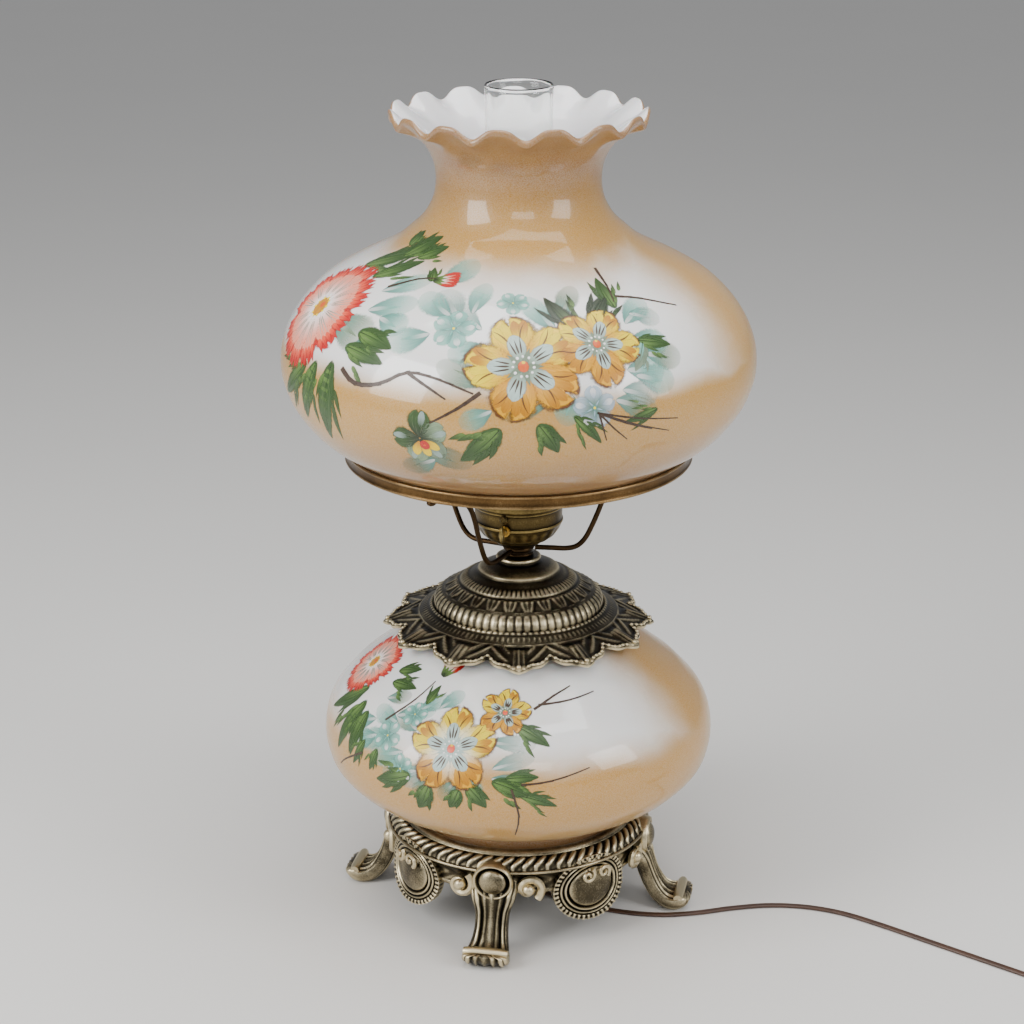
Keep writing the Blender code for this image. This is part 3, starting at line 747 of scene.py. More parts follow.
@dataclass
class MainsCord:
    """Flat twin flex from the base bushing to a two-pin plug, its spare length in a tied coil."""

    lie: float = 1.45
    upper: float = 4.3
    width: float = 5.3
    thickness: float = 2.8
    centre: tuple[float, float] = (433.0, -137.0)
    outer: float = 37.85
    entry: float = 231.3
    turned: float = 2658.7
    pitch: float = 5.42
    diameter: float = 0.0048
    away: tuple[float, float, float] = (-0.174, 0.985, 0.0)
    band_angle: float = 120.0
    band_middle: float = 27.8
    plug_from: float = 41.3
    plug_height: float = 7.2

    def coil_point(self, share: float) -> tuple[float, float, float]:
        """Returns the coil's point at a share of its turns: inward below, then outward above."""
        angle = math.radians(self.entry + self.turned * share)
        turns = self.turned / 360.0
        radius = self.outer - self.pitch * turns * (0.5 - abs(share - 0.5))
        rise = float(ramp(np.array(share), 0.485, 0.515))
        height = self.lie + (self.upper - self.lie) * rise
        x, y = self.centre
        return x + radius * math.cos(angle), y + radius * math.sin(angle), height

    def route(self) -> Array:
        """Returns the cord's centre line in millimetres, from the bushing to the plug."""
        z = self.lie
        start = [
            (0, 0, 33.7), (0, 0, 27), (1.8, -1, 17.5), (7.5, -4.2, 8.6), (17, -9.6, 3.4),
            (28, -16.2, 1.7), (44, -26, z), (64, -36.5, z), (90, -44.8, z), (116, -47.6, z),
            (142, -43.8, z), (168, -36.6, z), (196, -32, z), (224, -34, z), (250, -43, z),
            (276, -60, z),
        ]
        touch = np.array(self.coil_point(0.0))
        heading = np.array((0.780, -0.625, 0.0))
        start += [tuple(touch - heading * d) for d in (100, 60, 22)]
        lead = flowing(start, 8)[:-1]
        coil = [self.coil_point(s) for s in np.linspace(0.0, 1.0, 300)]
        leave = np.array(coil[-1])
        away = np.array(self.away)
        ends = ((0, 4.3), (8, 4.4), (16, 4.8), (22, 5.3), (30, 6.4), (36, 7), (42, 7.2), (46, 7.2))
        tail = [(*(leave + away * d)[:2], z) for d, z in ends]
        return np.concatenate([lead, coil[:-1], flowing(tail, 3)])

    def flat_twin(self, u: Array, t: Array) -> Pair:
        """Returns the section: two round cores with a shallow groove between."""
        across = 0.5 * self.width * np.cos(t)
        groove = 1.0 - 0.3 * bell(across, 0.0, 0.75)
        bulge = boxy(np.sin(t), 0.75)
        return across, 0.5 * self.thickness * bulge * groove

    def build(self) -> None:
        path = self.route()
        cord = Bench.sweep("cord", path, self.flat_twin, 16, (-0.487, -0.873, 0.0))
        nodes = ("cord_lead", "cord_coil", "cord_tail")
        Bench.dress(cord, Finish.CORD, "lamp_body", "brown_cord", *nodes)
        tie = self.tie()
        plug = self.plug()

    def tie(self) -> Piece:
        """Returns the twist tie round the coil's near side."""
        x, y = self.centre
        angle = math.radians(self.band_angle)
        out = np.array((math.cos(angle), math.sin(angle), 0.0))
        t = np.linspace(0.0, math.tau, 33)
        across = self.band_middle + 12.9 * boxy(np.cos(t), 0.5)
        height = 3.0 + 2.95 * boxy(np.sin(t), 0.5)
        loop = np.array((x, y, 0.0)) + out * across[:, None]
        loop[:, 2] = height
        beside = np.cross(out, (0.0, 0.0, 1.0))

        def place(u: Array, v: Array) -> Array:
            """Returns the band's points."""
            step = station(u, len(loop))
            angle_round = v * math.tau
            centre = np.array((x, y, 3.0)) + out * self.band_middle
            outward = loop[step] - centre
            outward /= np.linalg.norm(outward, axis=1)[:, None]
            sideways = beside * (2.4 * np.cos(angle_round))[:, None]
            return loop[step] + sideways + outward * (0.18 * np.sin(angle_round))[:, None]

        band = Bench.grid("coil_tie", (32, 8), place)
        return Bench.dress(band, Finish.TIE, "lamp_body", "brown_cord")

    def plug(self) -> Piece:
        """Returns the moulded plug with its ribbed strain relief."""
        away = np.array(self.away)
        stations = [
            (-6, 3.1, 2.1), (0, 4.0, 3.2), (5, 4.4, 3.7), (9, 7.2, 5.2), (13, 10.6, 6.4),
            (18, 12.6, 6.9), (24, 13.0, 6.9), (28, 12.7, 6.7), (29.8, 12.0, 6.1),
        ]
        line = flowing(stations, 6)
        base = np.array(self.coil_point(1.0)) + away * self.plug_from
        base[2] = self.plug_height
        path = base + away * line[:, :1]

        def section(u: Array, t: Array) -> Pair:
            """Returns the plug's rounded section, ribbed where the cord goes in."""
            step = station(u, len(line))
            ribs = 1.0 + 0.05 * np.sin(line[step, 0] * 2.6) * (line[step, 0] < 6.0)
            wide, high = line[step, 1], line[step, 2]
            return wide * boxy(np.cos(t), 0.62) * ribs, high * boxy(np.sin(t), 0.62) * ribs

        piece = Bench.sweep("plug", path, section, 32)
        return Bench.dress(piece, Finish.PLUG, "lamp_body", "brown_plug", "plug_body")


@dataclass
class GlassFace:
    """The painted side of a turned glass, measured by height and angle."""

    outline: Sequence[tuple[float, float]]

    def __post_init__(self) -> None:
        """Draws the smooth side and its outward direction."""
        self.side = flowing(self.outline, 10)
        steps = np.diff(self.side, axis=0)
        self.run = np.concatenate([[0.0], np.cumsum(np.linalg.norm(steps, axis=1))])
        slope = np.gradient(self.side, axis=0)
        slope /= np.linalg.norm(slope, axis=1)[:, None]
        self.out = np.stack([slope[:, 1], -slope[:, 0]], 1)

    def spot(
        self, azimuth: float, height: float, across: Array, along: Array, proud: float
    ) -> Array:
        """Lays offsets from a place onto the glass.

        Args:
            azimuth: The place's angle in degrees, 0 at the front, more to the right.
            height: The place's height in millimetres.
            across: Offsets to the right along the glass.
            along: Offsets up the glass.
            proud: How far off the glass.

        Returns:
            Points in millimetres.
        """
        home = np.interp(height, self.side[:, 1], self.run)
        run = np.clip(home + along, 0.0, self.run[-1])
        radius, level = (np.interp(run, self.run, self.side[:, k]) for k in (0, 1))
        out_r, out_z = (np.interp(run, self.run, self.out[:, k]) for k in (0, 1))
        reach = np.interp(home, self.run, self.side[:, 0])
        angle = math.radians(azimuth) + across / (0.35 * reach + 0.65 * radius)
        radius = radius + out_r * proud
        level = level + out_z * proud
        return np.stack([radius * np.sin(angle), -radius * np.cos(angle), level], 1)


SHADE_SIDE = (
    (128.6, 375.2), (132.5, 377.6), (146, 386), (156, 395), (164, 405), (170, 414.5),
    (173.8, 424), (176.3, 433), (177, 443), (175.8, 454), (172.4, 465), (167.5, 475),
    (160.7, 485), (151, 495.5), (139.3, 505), (121, 515.5), (101.5, 525), (89.5, 532),
    (80, 540), (72, 547.2), (66.4, 555),
)
GLOBE_SIDE = (
    (93, 87.3), (105, 92.5), (119, 100), (131, 108.5), (140.5, 118), (145.8, 125.6),
    (148.6, 134), (150, 141.5), (150.2, 149), (149, 158.6), (146, 168), (140.8, 176.8),
    (133.6, 185), (125.8, 193), (117, 200), (102, 212), (87, 223.5), (70, 232.5),
)


def mark_outside(piece: Piece) -> None:
    """Stores 1 where the glass faces away from the upright axis and 0 where it faces it."""
    normals = np.zeros(len(piece.data.vertices) * 3)
    piece.data.vertices.foreach_get("normal", normals)
    normals = normals.reshape(-1, 3)
    spots = Bench.points(piece)
    radius = np.maximum(np.hypot(spots[:, 0], spots[:, 1]), 1e-6)
    away = (normals[:, 0] * spots[:, 0] + normals[:, 1] * spots[:, 1]) / radius
    Bench.mark(piece, "outside", ramp(away, -0.02, 0.12))


@dataclass
class Shade:
    """The big painted shade with its crimped flare."""

    lobes: int = 15
    crimp: float = 4.3
    phase: float = 3.0
    crimp_from: float = 62.0
    crimp_to: float = 96.0
    neck_top: float = 585.0
    sharpness: float = 3.6

    def outline(self) -> Array:
        """Returns the whole section, outer side up and inner side down."""
        outer = [(128.6, 366.6), (128.6, 366.6), SHADE_SIDE[0], *SHADE_SIDE]
        outer += [(62.4, 564), (60.8, 574), (61, 582), (62.5, 590), (66.3, 598.3)]
        outer += [(72, 606), (78.3, 611.2), (85, 615), (91, 617.8), (96, 620), (97.6, 621.6)]
        inner = [
            (97.4, 624.0), (95.4, 625.2), (92.4, 623.9), (88.0, 621.4), (82, 618.2), (75, 613.8),
            (69, 609.2), (62.2, 600), (58.4, 590), (57, 582), (56.8, 574), (58.6, 563),
            (62.6, 553), (69, 544), (77.6, 536), (88, 528), (99.6, 521), (119, 511.6),
            (136.6, 501.6), (148.2, 492.2), (157.4, 482.4), (164.2, 473), (169, 463.6),
            (172.2, 453), (173.4, 443), (172.6, 433.6), (170.2, 425), (166.4, 416),
            (160.6, 407.4), (153, 398), (143.4, 389.4), (124.8, 377.4), (124.8, 377.4),
        ]
        ends = [(124.8, 366.6), (124.8, 366.6), (128.6, 366.6), (128.6, 366.6)]
        return flowing([*outer, *inner, *ends], 3)

    def scalloped(self, radius: Array, angle: Array, height: Array) -> Triple:
        """Crimps the flare into broad lobes with narrow valleys."""
        azimuth = angle + 0.5 * math.pi
        share = np.clip((radius - self.crimp_from) / (self.crimp_to - self.crimp_from), 0, 1.1)
        share = share * (height > self.neck_top)
        turn = 0.5 * self.lobes * (azimuth - math.radians(self.phase))
        valley = np.abs(np.cos(turn)) ** self.sharpness
        lift = self.crimp * (0.86 - 1.86 * valley) * share**1.8
        pull = -2.4 * share**2 - valley * share**2
        return radius + pull, angle, height + lift

    def build(self) -> None:
        """Builds the shade."""
        piece = Bench.lathe("shade_glass", self.outline(), 300)
        Bench.relief(piece, self.scalloped)
        mark_outside(piece)
        Bench.dress(piece, Finish.SHADE, "glass_shade", "painted_glass", "shade")


@dataclass
class Chimney:
    """The clear chimney, bulged low and straight above, with a fire-polished top."""

    wall: float = 1.7

    def build(self) -> None:
        """Builds the chimney."""
        outer = [
            (33.3, 329.6), (33.3, 329.6), (33.3, 340), (33.4, 352), (35, 368), (36.4, 385),
            (35.6, 408), (33.6, 432), (30.5, 461), (27.5, 490), (25.6, 518), (24.8, 545),
            (24.8, 580), (24.8, 610), (24.9, 638), (25.3, 642.8), (24.6, 645),
        ]
        inner = [
            (23.5, 644), (23.2, 640), *((r - self.wall, z) for r, z in outer[-4:1:-1]),
            (31.6, 329.6), (31.6, 329.6), (33.3, 329.6), (33.3, 329.6),
        ]
        piece = Bench.lathe("chimney_glass", flowing([*outer, *inner], 4), 128)
        Bench.dress(piece, Finish.CLEAR, "glass_chimney", "clear_glass", "chimney")


@dataclass
class Globe:
    """The painted lower globe."""

    def outline(self) -> Array:
        """Returns the whole section."""
        outer = [(82, 73.8), (82, 73.8), (82, 82.5), (82, 82.5), *GLOBE_SIDE]
        outer += [(55, 238.5), (52, 243), (52, 243)]
        inner = [
            (48.4, 243), (48.4, 243), (51, 235.4), (66, 228.8), (83, 219.8), (98, 208.6),
            (113, 196.8), (129.8, 181.8), (142, 166), (146, 149), (144.6, 135), (137, 120.8),
            (117, 103.4), (79, 86), (78, 84), (78, 73.8), (78, 73.8),
        ]
        return flowing([*outer, *inner, (82, 73.8), (82, 73.8)], 4)

    def build(self) -> None:
        """Builds the globe."""
        piece = Bench.lathe("globe_glass", self.outline(), 240)
        mark_outside(piece)
        Bench.dress(piece, Finish.GLOBE, "lamp_body", "painted_glass", "font_globe")


def radial(angle: float, radius: object, height: object) -> Array:
    """Returns points in the upright plane at an angle in degrees from +X."""
    a = math.radians(angle)
    radius, height = np.broadcast_arrays(np.asarray(radius, float), np.asarray(height, float))
    return np.stack([radius * math.cos(a), radius * math.sin(a), height], -1)


def tangent(angle: float) -> tuple[float, float, float]:
    """Returns the level direction square to an angle in degrees from +X."""
    return -math.sin(math.radians(angle)), math.cos(math.radians(angle)), 0.0


def round_rod(size: Callable[[Array], Array]) -> Callable:
    """Returns a round section for a sweep, its radius in millimetres by the share along."""
    return lambda u, t: (size(u) * np.cos(t), size(u) * np.sin(t))


def medallion(
    name: str, angle: float, height: float, rule: Callable, counts: tuple[int, int]
) -> Piece:
    """Lays a cast ornament round the upright axis.

    Args:
        name: The piece's name.
        angle: Where its middle is, in degrees from +X.
        height: Where its middle is, in millimetres.
        rule: Gives across, up and radius from the share outward and the angle round.
        counts: Faces outward and round.

    Returns:
        The closed ornament.
    """

    def place(u: Array, v: Array) -> Array:
        """Returns the ornament's points."""
        across, up, radius = rule(u, v)
        turn = math.radians(angle) + across / APRON
        return np.stack([radius * np.cos(turn), radius * np.sin(turn), height + up], 1)

    return Bench.grid(name, counts, place)


def volute(
    name: str, angle: float, eye: tuple[float, float, float], hand: float, size: float, rod: float
) -> Piece:
    """Sweeps a rod along a spiral that lies against the base.

    Args:
        name: The piece's name.
        angle: Where the casting's ornament is, in degrees from +X.
        eye: The spiral's eye: across, height and radius from the upright axis.
        hand: 1 or -1, the way it winds.
        size: The spiral's outer radius.
        rod: The rod's radius at the outer end.

    Returns:
        The swept spiral.
    """
    turn = np.linspace(0.0, 1.0, 40)
    grow = 0.16 * size + 0.84 * size * turn**1.25
    wind = hand * (turn * 8.2 - 1.0)
    across = eye[0] + grow * np.cos(wind)
    bearing = math.radians(angle) + across / APRON
    height = eye[1] + grow * np.sin(wind)
    radius = eye[2] + 1.6 * (1.0 - turn)
    path = np.stack([radius * np.cos(bearing), radius * np.sin(bearing), height], 1)
    outward = radial(angle, 1.0, 0.0)
    section = round_rod(lambda u: rod * (0.55 + 0.45 * u))
    return Bench.sweep(name, path, section, 8, (*outward, 1.0))


@dataclass
class ShadeSupport:
    """The ring that carries the shade, its three wire arms and their hub."""

    arm_angles: tuple[float, float, float] = (-120.0, 0.0, 148.0)
    wire: float = 2.0

    def build(self) -> None:
        """Builds the ring, arms and hub."""
        line = [
            (117.6, 365.1), (117.6, 365.1), (128.6, 365.0), (130.2, 365.0), (131.1, 365.8),
            (130.9, 367), (130.5, 367.6), (130.5, 372.2), (131.0, 373), (131.1, 374),
            (130.4, 374.8), (129.5, 374.5), (129.2, 373), (129.2, 366.3), (129.2, 366.3),
            (117.6, 366.2), (117.6, 366.2), (117.6, 365.1), (117.6, 365.1),
        ]
        ring = Bench.lathe("shade_holder_ring", flowing(line, 2), 192)
        Bench.dress(ring, Finish.RING, "lamp_body", "bronzed_ring", "shade_ring")
        spots = [
            (12.4, 290.5), (25, 290), (37, 289.6), (45, 291.8), (51, 298), (56, 308), (60.5, 319),
            (65, 331), (71, 342), (80, 350.5), (93, 357.5), (108, 361.4), (120, 362.6),
            (127, 362.8),
        ]
        arch = flowing(spots, 5)
        section = round_rod(lambda u: np.full_like(u, self.wire))
        for number, angle in enumerate(self.arm_angles, 1):
            path = radial(angle, arch[:, 0], arch[:, 1])
            side = (*tangent(angle), 1.0)
            arm = Bench.sweep(f"wire_arm_{number}", path, section, 14, side)
            rivet = Bench.ball(f"arm_rivet_{number}", radial(angle, 125.6, 363.0), (3.6, 3.6, 2.3))
            arm = Bench.join([arm, rivet])
            Bench.dress(arm, Finish.WIRE, "lamp_body", "bronze_wire", f"ring_arm_{number}")
        hub = [
            (5.2, 285.5), (5.2, 285.5), (10.6, 285.5), (11.8, 286.3), (11.9, 287.4),
            (11.4, 288.2), (11.4, 289.8), (11.9, 290.6), (11.8, 291.8), (10.8, 292.6),
            (5.2, 292.6), (5.2, 292.6), (5.2, 285.5), (5.2, 285.5),
        ]
        piece = Bench.lathe("wire_hub", flowing(hub, 3), 64)
        Bench.dress(piece, Finish.WIRE, "lamp_body", "bronze_wire", "arm_hub")


@dataclass
class Burner:
    """The burner cup, the switch key and the frosted bulb."""

    key_angle: float = -107.0

    def build(self) -> None:
        """Builds the cup, key and bulb."""
        line = [
            (5.3, 293.1), (5.3, 293.1), (12.5, 293.1), (15, 294.2), (17.5, 296.2), (22, 299.5),
            (24, 300.2), (25.2, 301.8), (27.4, 302.8), (29.4, 305), (31.6, 308.4), (33.1, 312.2),
            (33.9, 313.4), (33.9, 315), (33.3, 316), (33.4, 322), (33.5, 325.2), (34.3, 326.2),
            (34.3, 327.6), (35.2, 329.0), (35.7, 331.5), (35.9, 334.6), (35.2, 335),
            (34.7, 334.2), (34.4, 330), (33.0, 326.4), (32.3, 313.8), (28.5, 306.3),
            (21.6, 301.2), (12, 294.5), (5.3, 294.4), (5.3, 294.4), (5.3, 293.1), (5.3, 293.1),
        ]
        cup = Bench.lathe("burner_cup_shell", flowing(line, 3), 192)
        Bench.relief(cup, self.fluted)
        Bench.dress(cup, Finish.BRASS, "lamp_body", "aged_brass", "burner_cup")
        key = self.key()
        Bench.dress(key, Finish.BRASS, "switch_turn_key", "aged_brass", "switch_key")
        bulb = [
            (0.02, 409), (4, 408.7), (9, 407.2), (14, 404.4), (18.4, 400.4), (21.6, 395.4),
            (23.5, 390), (24, 384.5), (23.4, 378.6), (21.4, 372.4), (18.6, 365.6), (16, 358.6),
            (14.2, 352), (12.8, 346), (12, 341), (11.7, 338.4), (11.7, 338.4), (0.02, 338.4),
        ]
        glass = Bench.lathe("bulb_envelope", flowing(bulb, 4), 64)
        Bench.dress(glass, Finish.FROSTED, "lamp_body", "frosted_glass", "bulb_glass")

    @staticmethod
    def fluted(radius: Array, angle: Array, height: Array) -> Triple:
        """Presses short flutes into the cup's shoulder."""
        band = ramp(height, 303.0, 306.0) * (1.0 - ramp(height, 309.5, 312.0))
        flute = 0.5 + 0.5 * np.cos(angle * 24.0)
        return radius - 0.55 * band * flute, angle, height

    def key(self) -> Piece:
        """Returns the turn key: a flat pear-shaped paddle with a thin waist."""
        line = [
            (36.9, 1.6, 1.6), (37.6, 2.2, 2.1), (38.3, 1.9, 1.8), (39, 2.2, 1.5),
            (40.2, 4.6, 1.5), (42.2, 6.4, 1.7), (44.2, 6.5, 1.7), (45.8, 5.2, 1.6),
            (46.6, 2.6, 1.1),
        ]
        stations = flowing(line, 4)
        path = radial(self.key_angle, stations[:, 0], 315.0)

        def section(u: Array, t: Array) -> Pair:
            """Returns the paddle's section, dished in the middle."""
            step = station(u, len(stations))
            dish = 1.0 - 0.35 * np.abs(np.sin(t)) * ramp(stations[step, 0], 40.0, 42.0)
            return stations[step, 2] * np.cos(t) * dish, stations[step, 1] * np.sin(t)

        return Bench.sweep("turn_key", path, section, 20)


@dataclass
class Canopy:
    """The cast canopy on the globe: gadroons, palmettes and a skirt of twelve leaf tips."""

    tips: int = 12
    collar_ribs: float = 36.0
    palmettes: float = 24.0
    gadroons: float = 32.0
    pearls: float = 48.0
    notches: float = 112.0
    skirt: float = 75.8
    rim: float = 105.0
    slope: float = 0.37
    valley: float = 92.0
    reach: float = 104.6

    def top(self) -> Array:
        """Returns the upper side from the pipe out to the tips."""
        line = [
            (5.4, 285), (5.4, 285), (14, 285), (16.4, 284.8), (17.2, 283.6), (17, 281.6),
            (17.6, 280.2), (22, 278.4), (27, 276.9), (30.2, 275.4), (31.4, 273.6), (32.6, 272.2),
            (36, 270.4), (38.2, 269.4), (41.2, 268.4), (44.2, 266.4), (45.6, 264.4),
            (46.8, 264.0), (48.6, 263.0), (52, 260.8), (55.6, 258.7), (57.4, 257.6),
            (58.6, 257.0), (61.2, 255.4), (63.6, 252.4), (64.8, 249), (65, 246.4), (65.4, 245.4),
            (66.6, 246), (67.8, 245.6), (68.8, 244.4), (71.4, 243), (75.8, 240.6), (77, 240.2),
            (84, 238.2), (92, 235.2), (99, 232.4),
        ]
        return flowing([*line, (104, 230.0), (self.rim, 229.6)], 3)

    def outline(self) -> Array:
        """Returns the whole section."""
        under = [
            (105, 229.6), (104.4, 227.8), (99, 229.8), (92, 232.6), (84, 235.6), (77, 237.4),
            (70, 240.2), (65, 242.4), (61.6, 246.4), (58, 251), (44, 259.4), (30, 267.4),
            (16, 273.2), (5.4, 273.4), (5.4, 273.4), (5.4, 285), (5.4, 285),
        ]
        return np.concatenate([self.top(), flowing(under, 3)[1:]])

    def edge(self, tip: Array) -> Array:
        """Returns the skirt's outer radius, tip being 0 at a leaf's point and 1 between two."""
        reach = self.valley + (self.reach - self.valley) * (1.0 - tip) ** 0.9
        return reach + 1.1 * np.cos(tip * 9.5) * ramp(tip, 0.12, 0.3)

    def beading(self) -> Piece:
        """Returns the beads along the skirt's edge."""
        beads = [Bench.ball("canopy_beads", radial(-90.0, 101.0, 232.9), (1.9, 1.9, 1.6))]
        for share in np.linspace(-1.0, 1.0, 15)[:-1]:
            if abs(share) > 0.1:
                reach = float(self.edge(np.array(abs(share))))
                height = 230.9 + (self.rim - reach) * self.slope
                spot = radial(-90.0 + 15.0 * share, reach - 1.7, height)
                beads.append(Bench.ball("bead", spot, (1.35, 1.35, 1.15)))
        return Bench.ring_of(Bench.join(beads), [30.0 * k for k in range(1, self.tips)])

    def carved(self, radius: Array, angle: Array, height: Array) -> Triple:
        """Casts the ornament into the upper side and cuts the skirt into leaf tips."""
        top = self.top()
        upper = np.interp(radius, top[:, 0], top[:, 1]) - height < 1.2
        azimuth = angle + 0.5 * math.pi

        def band(low: float, high: float, soft: float = 1.2) -> Array:
            """Returns 1 between two radii on the upper side."""
            return upper * ramp(radius, low - soft, low + soft) * (
                1.0 - ramp(radius, high - soft, high + soft))

        lift = 0.75 * band(38.4, 44.2) * (np.abs(np.cos(azimuth * self.collar_ribs)) ** 0.7 - 0.6)
        fan = np.abs(((azimuth * self.palmettes / math.tau) % 1.0) - 0.5) * 2.0
        share = np.clip((radius - 47.0) / 9.0, 0.0, 1.0)
        leaf = ramp(1.0 - fan - 0.45 * share**2, -0.05, 0.35)
        ribs = 0.5 + 0.5 * np.cos(fan * 9.0 + share * 2.0)
        lift += band(47.6, 56.0, 0.8) * (1.15 * leaf * (0.65 + 0.35 * ribs) - 0.5)
        swell = np.abs(np.cos(azimuth * self.gadroons)) ** 0.6
        lift += 1.5 * band(59.4, 64.9, 1.4) * (swell - 0.62)
        radius_out = 0.9 * band(63.2, 65.4, 1.0) * (swell - 0.62)
        lift += 0.55 * band(66.2, 68.6, 0.5) * np.abs(np.cos(azimuth * self.pearls))
        lift += 0.22 * band(70.4, 73.6, 0.4) * np.cos(azimuth * self.notches)
        tip = np.abs(((azimuth * self.tips / math.tau + 0.5) % 1.0) - 0.5) * 2.0
        edge = self.edge(tip)
        squeeze = (edge - self.skirt) / (self.rim - self.skirt)
        out = radius > self.skirt
        fresh = np.where(out, self.skirt + (radius - self.skirt) * squeeze, radius)
        lift += np.where(out, (radius - fresh) * self.slope, 0.0)
        inset = edge - fresh
        border = bell(inset, 1.6, 1.1)
        lift += out * upper * border
        recess = ramp(inset, 2.8, 4.6) * ramp(fresh, 76.6, 78.2)
        lift -= out * upper * 1.1 * recess
        drop = bell(tip, 0.0, 0.22) * ramp(fresh, 80.0, 84.0) * ramp(inset, 1.5, 4.0)
        lift += out * upper * 2.6 * drop * (0.8 + 0.2 * np.cos(tip * 40.0))
        curl = np.cos(tip * 14.0 + fresh * 0.62) * recess * ramp(tip, 0.25, 0.4)
        lift += out * upper * 0.9 * np.maximum(curl, -0.2)
        return fresh + radius_out, angle, height + lift

    def build(self) -> None:
        """Builds the canopy."""
        piece = Bench.lathe("canopy_casting", self.outline(), 448)
        Bench.relief(piece, self.carved)
        Bench.dress(piece, Finish.ANTIQUED, "lamp_body", "antiqued_casting", "canopy")
        Bench.dress(self.beading(), Finish.ANTIQUED, "lamp_body", "antiqued_casting")


@dataclass
class Base:
    """The cast base: a ring of slanted leaves, four shells, four bosses and scrolled feet."""

    leaves: int = 72
    first_foot: float = -101.0
    scrolls: float = 44.0
    shell_ribs: float = 44.0
    shell_size: float = 26.0
    shell_stand: float = 98.2
    boss_size: float = 15.0
    boss_stand: float = 103.4

    def outline(self) -> Array:
        """Returns the ring's section."""
        line = [
            (83.2, 71.8), (83.2, 71.8), (83.3, 75.4), (84.6, 76.9), (87.4, 77.2), (90, 76.6),
            (91.4, 75), (92, 74.2), (93.2, 74.0), (96, 72.6), (99, 70.4), (101, 67.6),
            (101.4, 66.4), (102.6, 66.0), (103.2, 64.9), (102.4, 63.9), (100.6, 63.2), (98.6, 61),
            (97.3, 58), (96.9, 54), (97, 50), (97.8, 48.4), (97.8, 46.8), (97, 46), (97, 46),
            (93, 46), (93, 46), (93, 62), (88, 68), (84, 68), (30, 68), (30, 68),
        ]
        return flowing([*line, (30, 71.8), (30, 71.8), (60, 71.8), (83.2, 71.8), (83.2, 71.8)], 3)

    def carved(self, radius: Array, angle: Array, height: Array) -> Triple:
        """Casts the slanted leaves and a shallow scroll field below them."""
        share = np.clip((radius - 92.2) / 8.6, 0.0, 1.0)
        here = (radius > 91.8) * (height > 66.0) * (radius < 101.6)
        place = (angle * self.leaves / math.tau + share) % 1.0
        oval = 1.0 - ((place - 0.5) / 0.37) ** 2 - ((share - 0.5) / 0.54) ** 2
        lift = here * (2.1 * np.sqrt(np.maximum(oval, 0.0)) - 0.8)
        low = (radius > 96.0) * (height > 47.5) * (height < 62.5)
        scroll = np.cos(angle * self.scrolls + 1.6 * np.sin(height * 0.42)) * np.cos(height * 0.5)
        lift += low * 0.7 * scroll * ramp(height, 47.5, 50.0)
        return radius + 0.6 * lift, angle, height + 0.8 * lift * here

    def shell_rule(self, u: Array, v: Array) -> Triple:
        """Returns the shell: a domed heart, two ridges and a ribbed rim, off the apron."""
        turn = (v - 0.5) * math.tau
        size = self.shell_size * np.minimum(u / 0.93, 1.0)
        lobe = 1.0 + 0.007 * np.cos(turn * self.shell_ribs) * ramp(u, 0.8, 0.92)
        heart = 5.6 * dome(u, 0.57)
        ridges = 2.2 * bell(u, 0.65, 0.04) + 2.0 * bell(u, 0.75, 0.036)
        ribs = 1.7 * ramp(u, 0.79, 0.83) * (0.78 + 0.22 * np.cos(turn * self.shell_ribs))
        back = 7.0 * ramp(u, 0.93, 1.0)
        out = self.shell_stand + heart + ridges + ribs + 1.4 * u - back
        flare = 3.0 * np.clip(np.cos(turn), 0.0, 1.0)
        return 1.22 * size * lobe * np.sin(turn), -size * lobe * np.cos(turn), out + flare * u**2

    def boss_rule(self, u: Array, v: Array) -> Triple:
        """Returns the boss: a smooth dome inside a raised ring."""
        turn = v * math.tau
        size = self.boss_size * np.minimum(u / 0.92, 1.0)
        middle = 4.4 * dome(u, 0.62)
        ring = 2.6 * bell(u, 0.8, 0.085)
        back = 8.5 * ramp(u, 0.9, 1.0)
        out = self.boss_stand + 1.25 * middle + ring - back
        return size * np.cos(turn), size * np.sin(turn), out

    def foot(self, angle: float) -> Piece:
        """Returns one fluted foot that scrolls outward at the toe."""
        stations = [
            (93, 60, 14, 2.4), (95.2, 53, 18.2, 3.2), (100.2, 43, 16.8, 5.2),
            (103, 33, 13.4, 5.6), (107, 22.4, 12.8, 5.6), (113.2, 12.6, 14.2, 5.6),
            (120.5, 7.4, 16.4, 5.8), (128.2, 6.8, 18.0, 5.6), (133.4, 9.8, 17.6, 5),
        ]
        line = flowing([*stations, (134.6, 13.2, 16.0, 3.6)], 6)
        path = radial(angle, line[:, 0], line[:, 1])

        def section(u: Array, t: Array) -> Pair:
            """Returns the foot's fluted section with a border band each side."""
            step = station(u, len(line))
            side = boxy(np.cos(t), 0.6)
            depth = boxy(np.sin(t), 0.5)
            flute = 1.15 * np.cos(side * 17.0) * (np.abs(side) < 0.86)
            end = 1.0 - 0.4 * ramp(u, 0.95, 1.0)
            return line[step, 2] * side * end, (line[step, 3] + flute) * depth * end

        return Bench.sweep("foot", path, section, 64, (*tangent(angle), 1.0))

    @staticmethod
    def repeat(name: str, parts: Sequence[Piece]) -> None:
        """Joins cast ornaments, copies them to the base's other three sides and finishes them."""
        piece = Bench.ring_of(Bench.join(parts), (90.0, 180.0, 270.0))
        piece.name = name
        Bench.dress(piece, Finish.ANTIQUED, "lamp_body", "antiqued_casting")

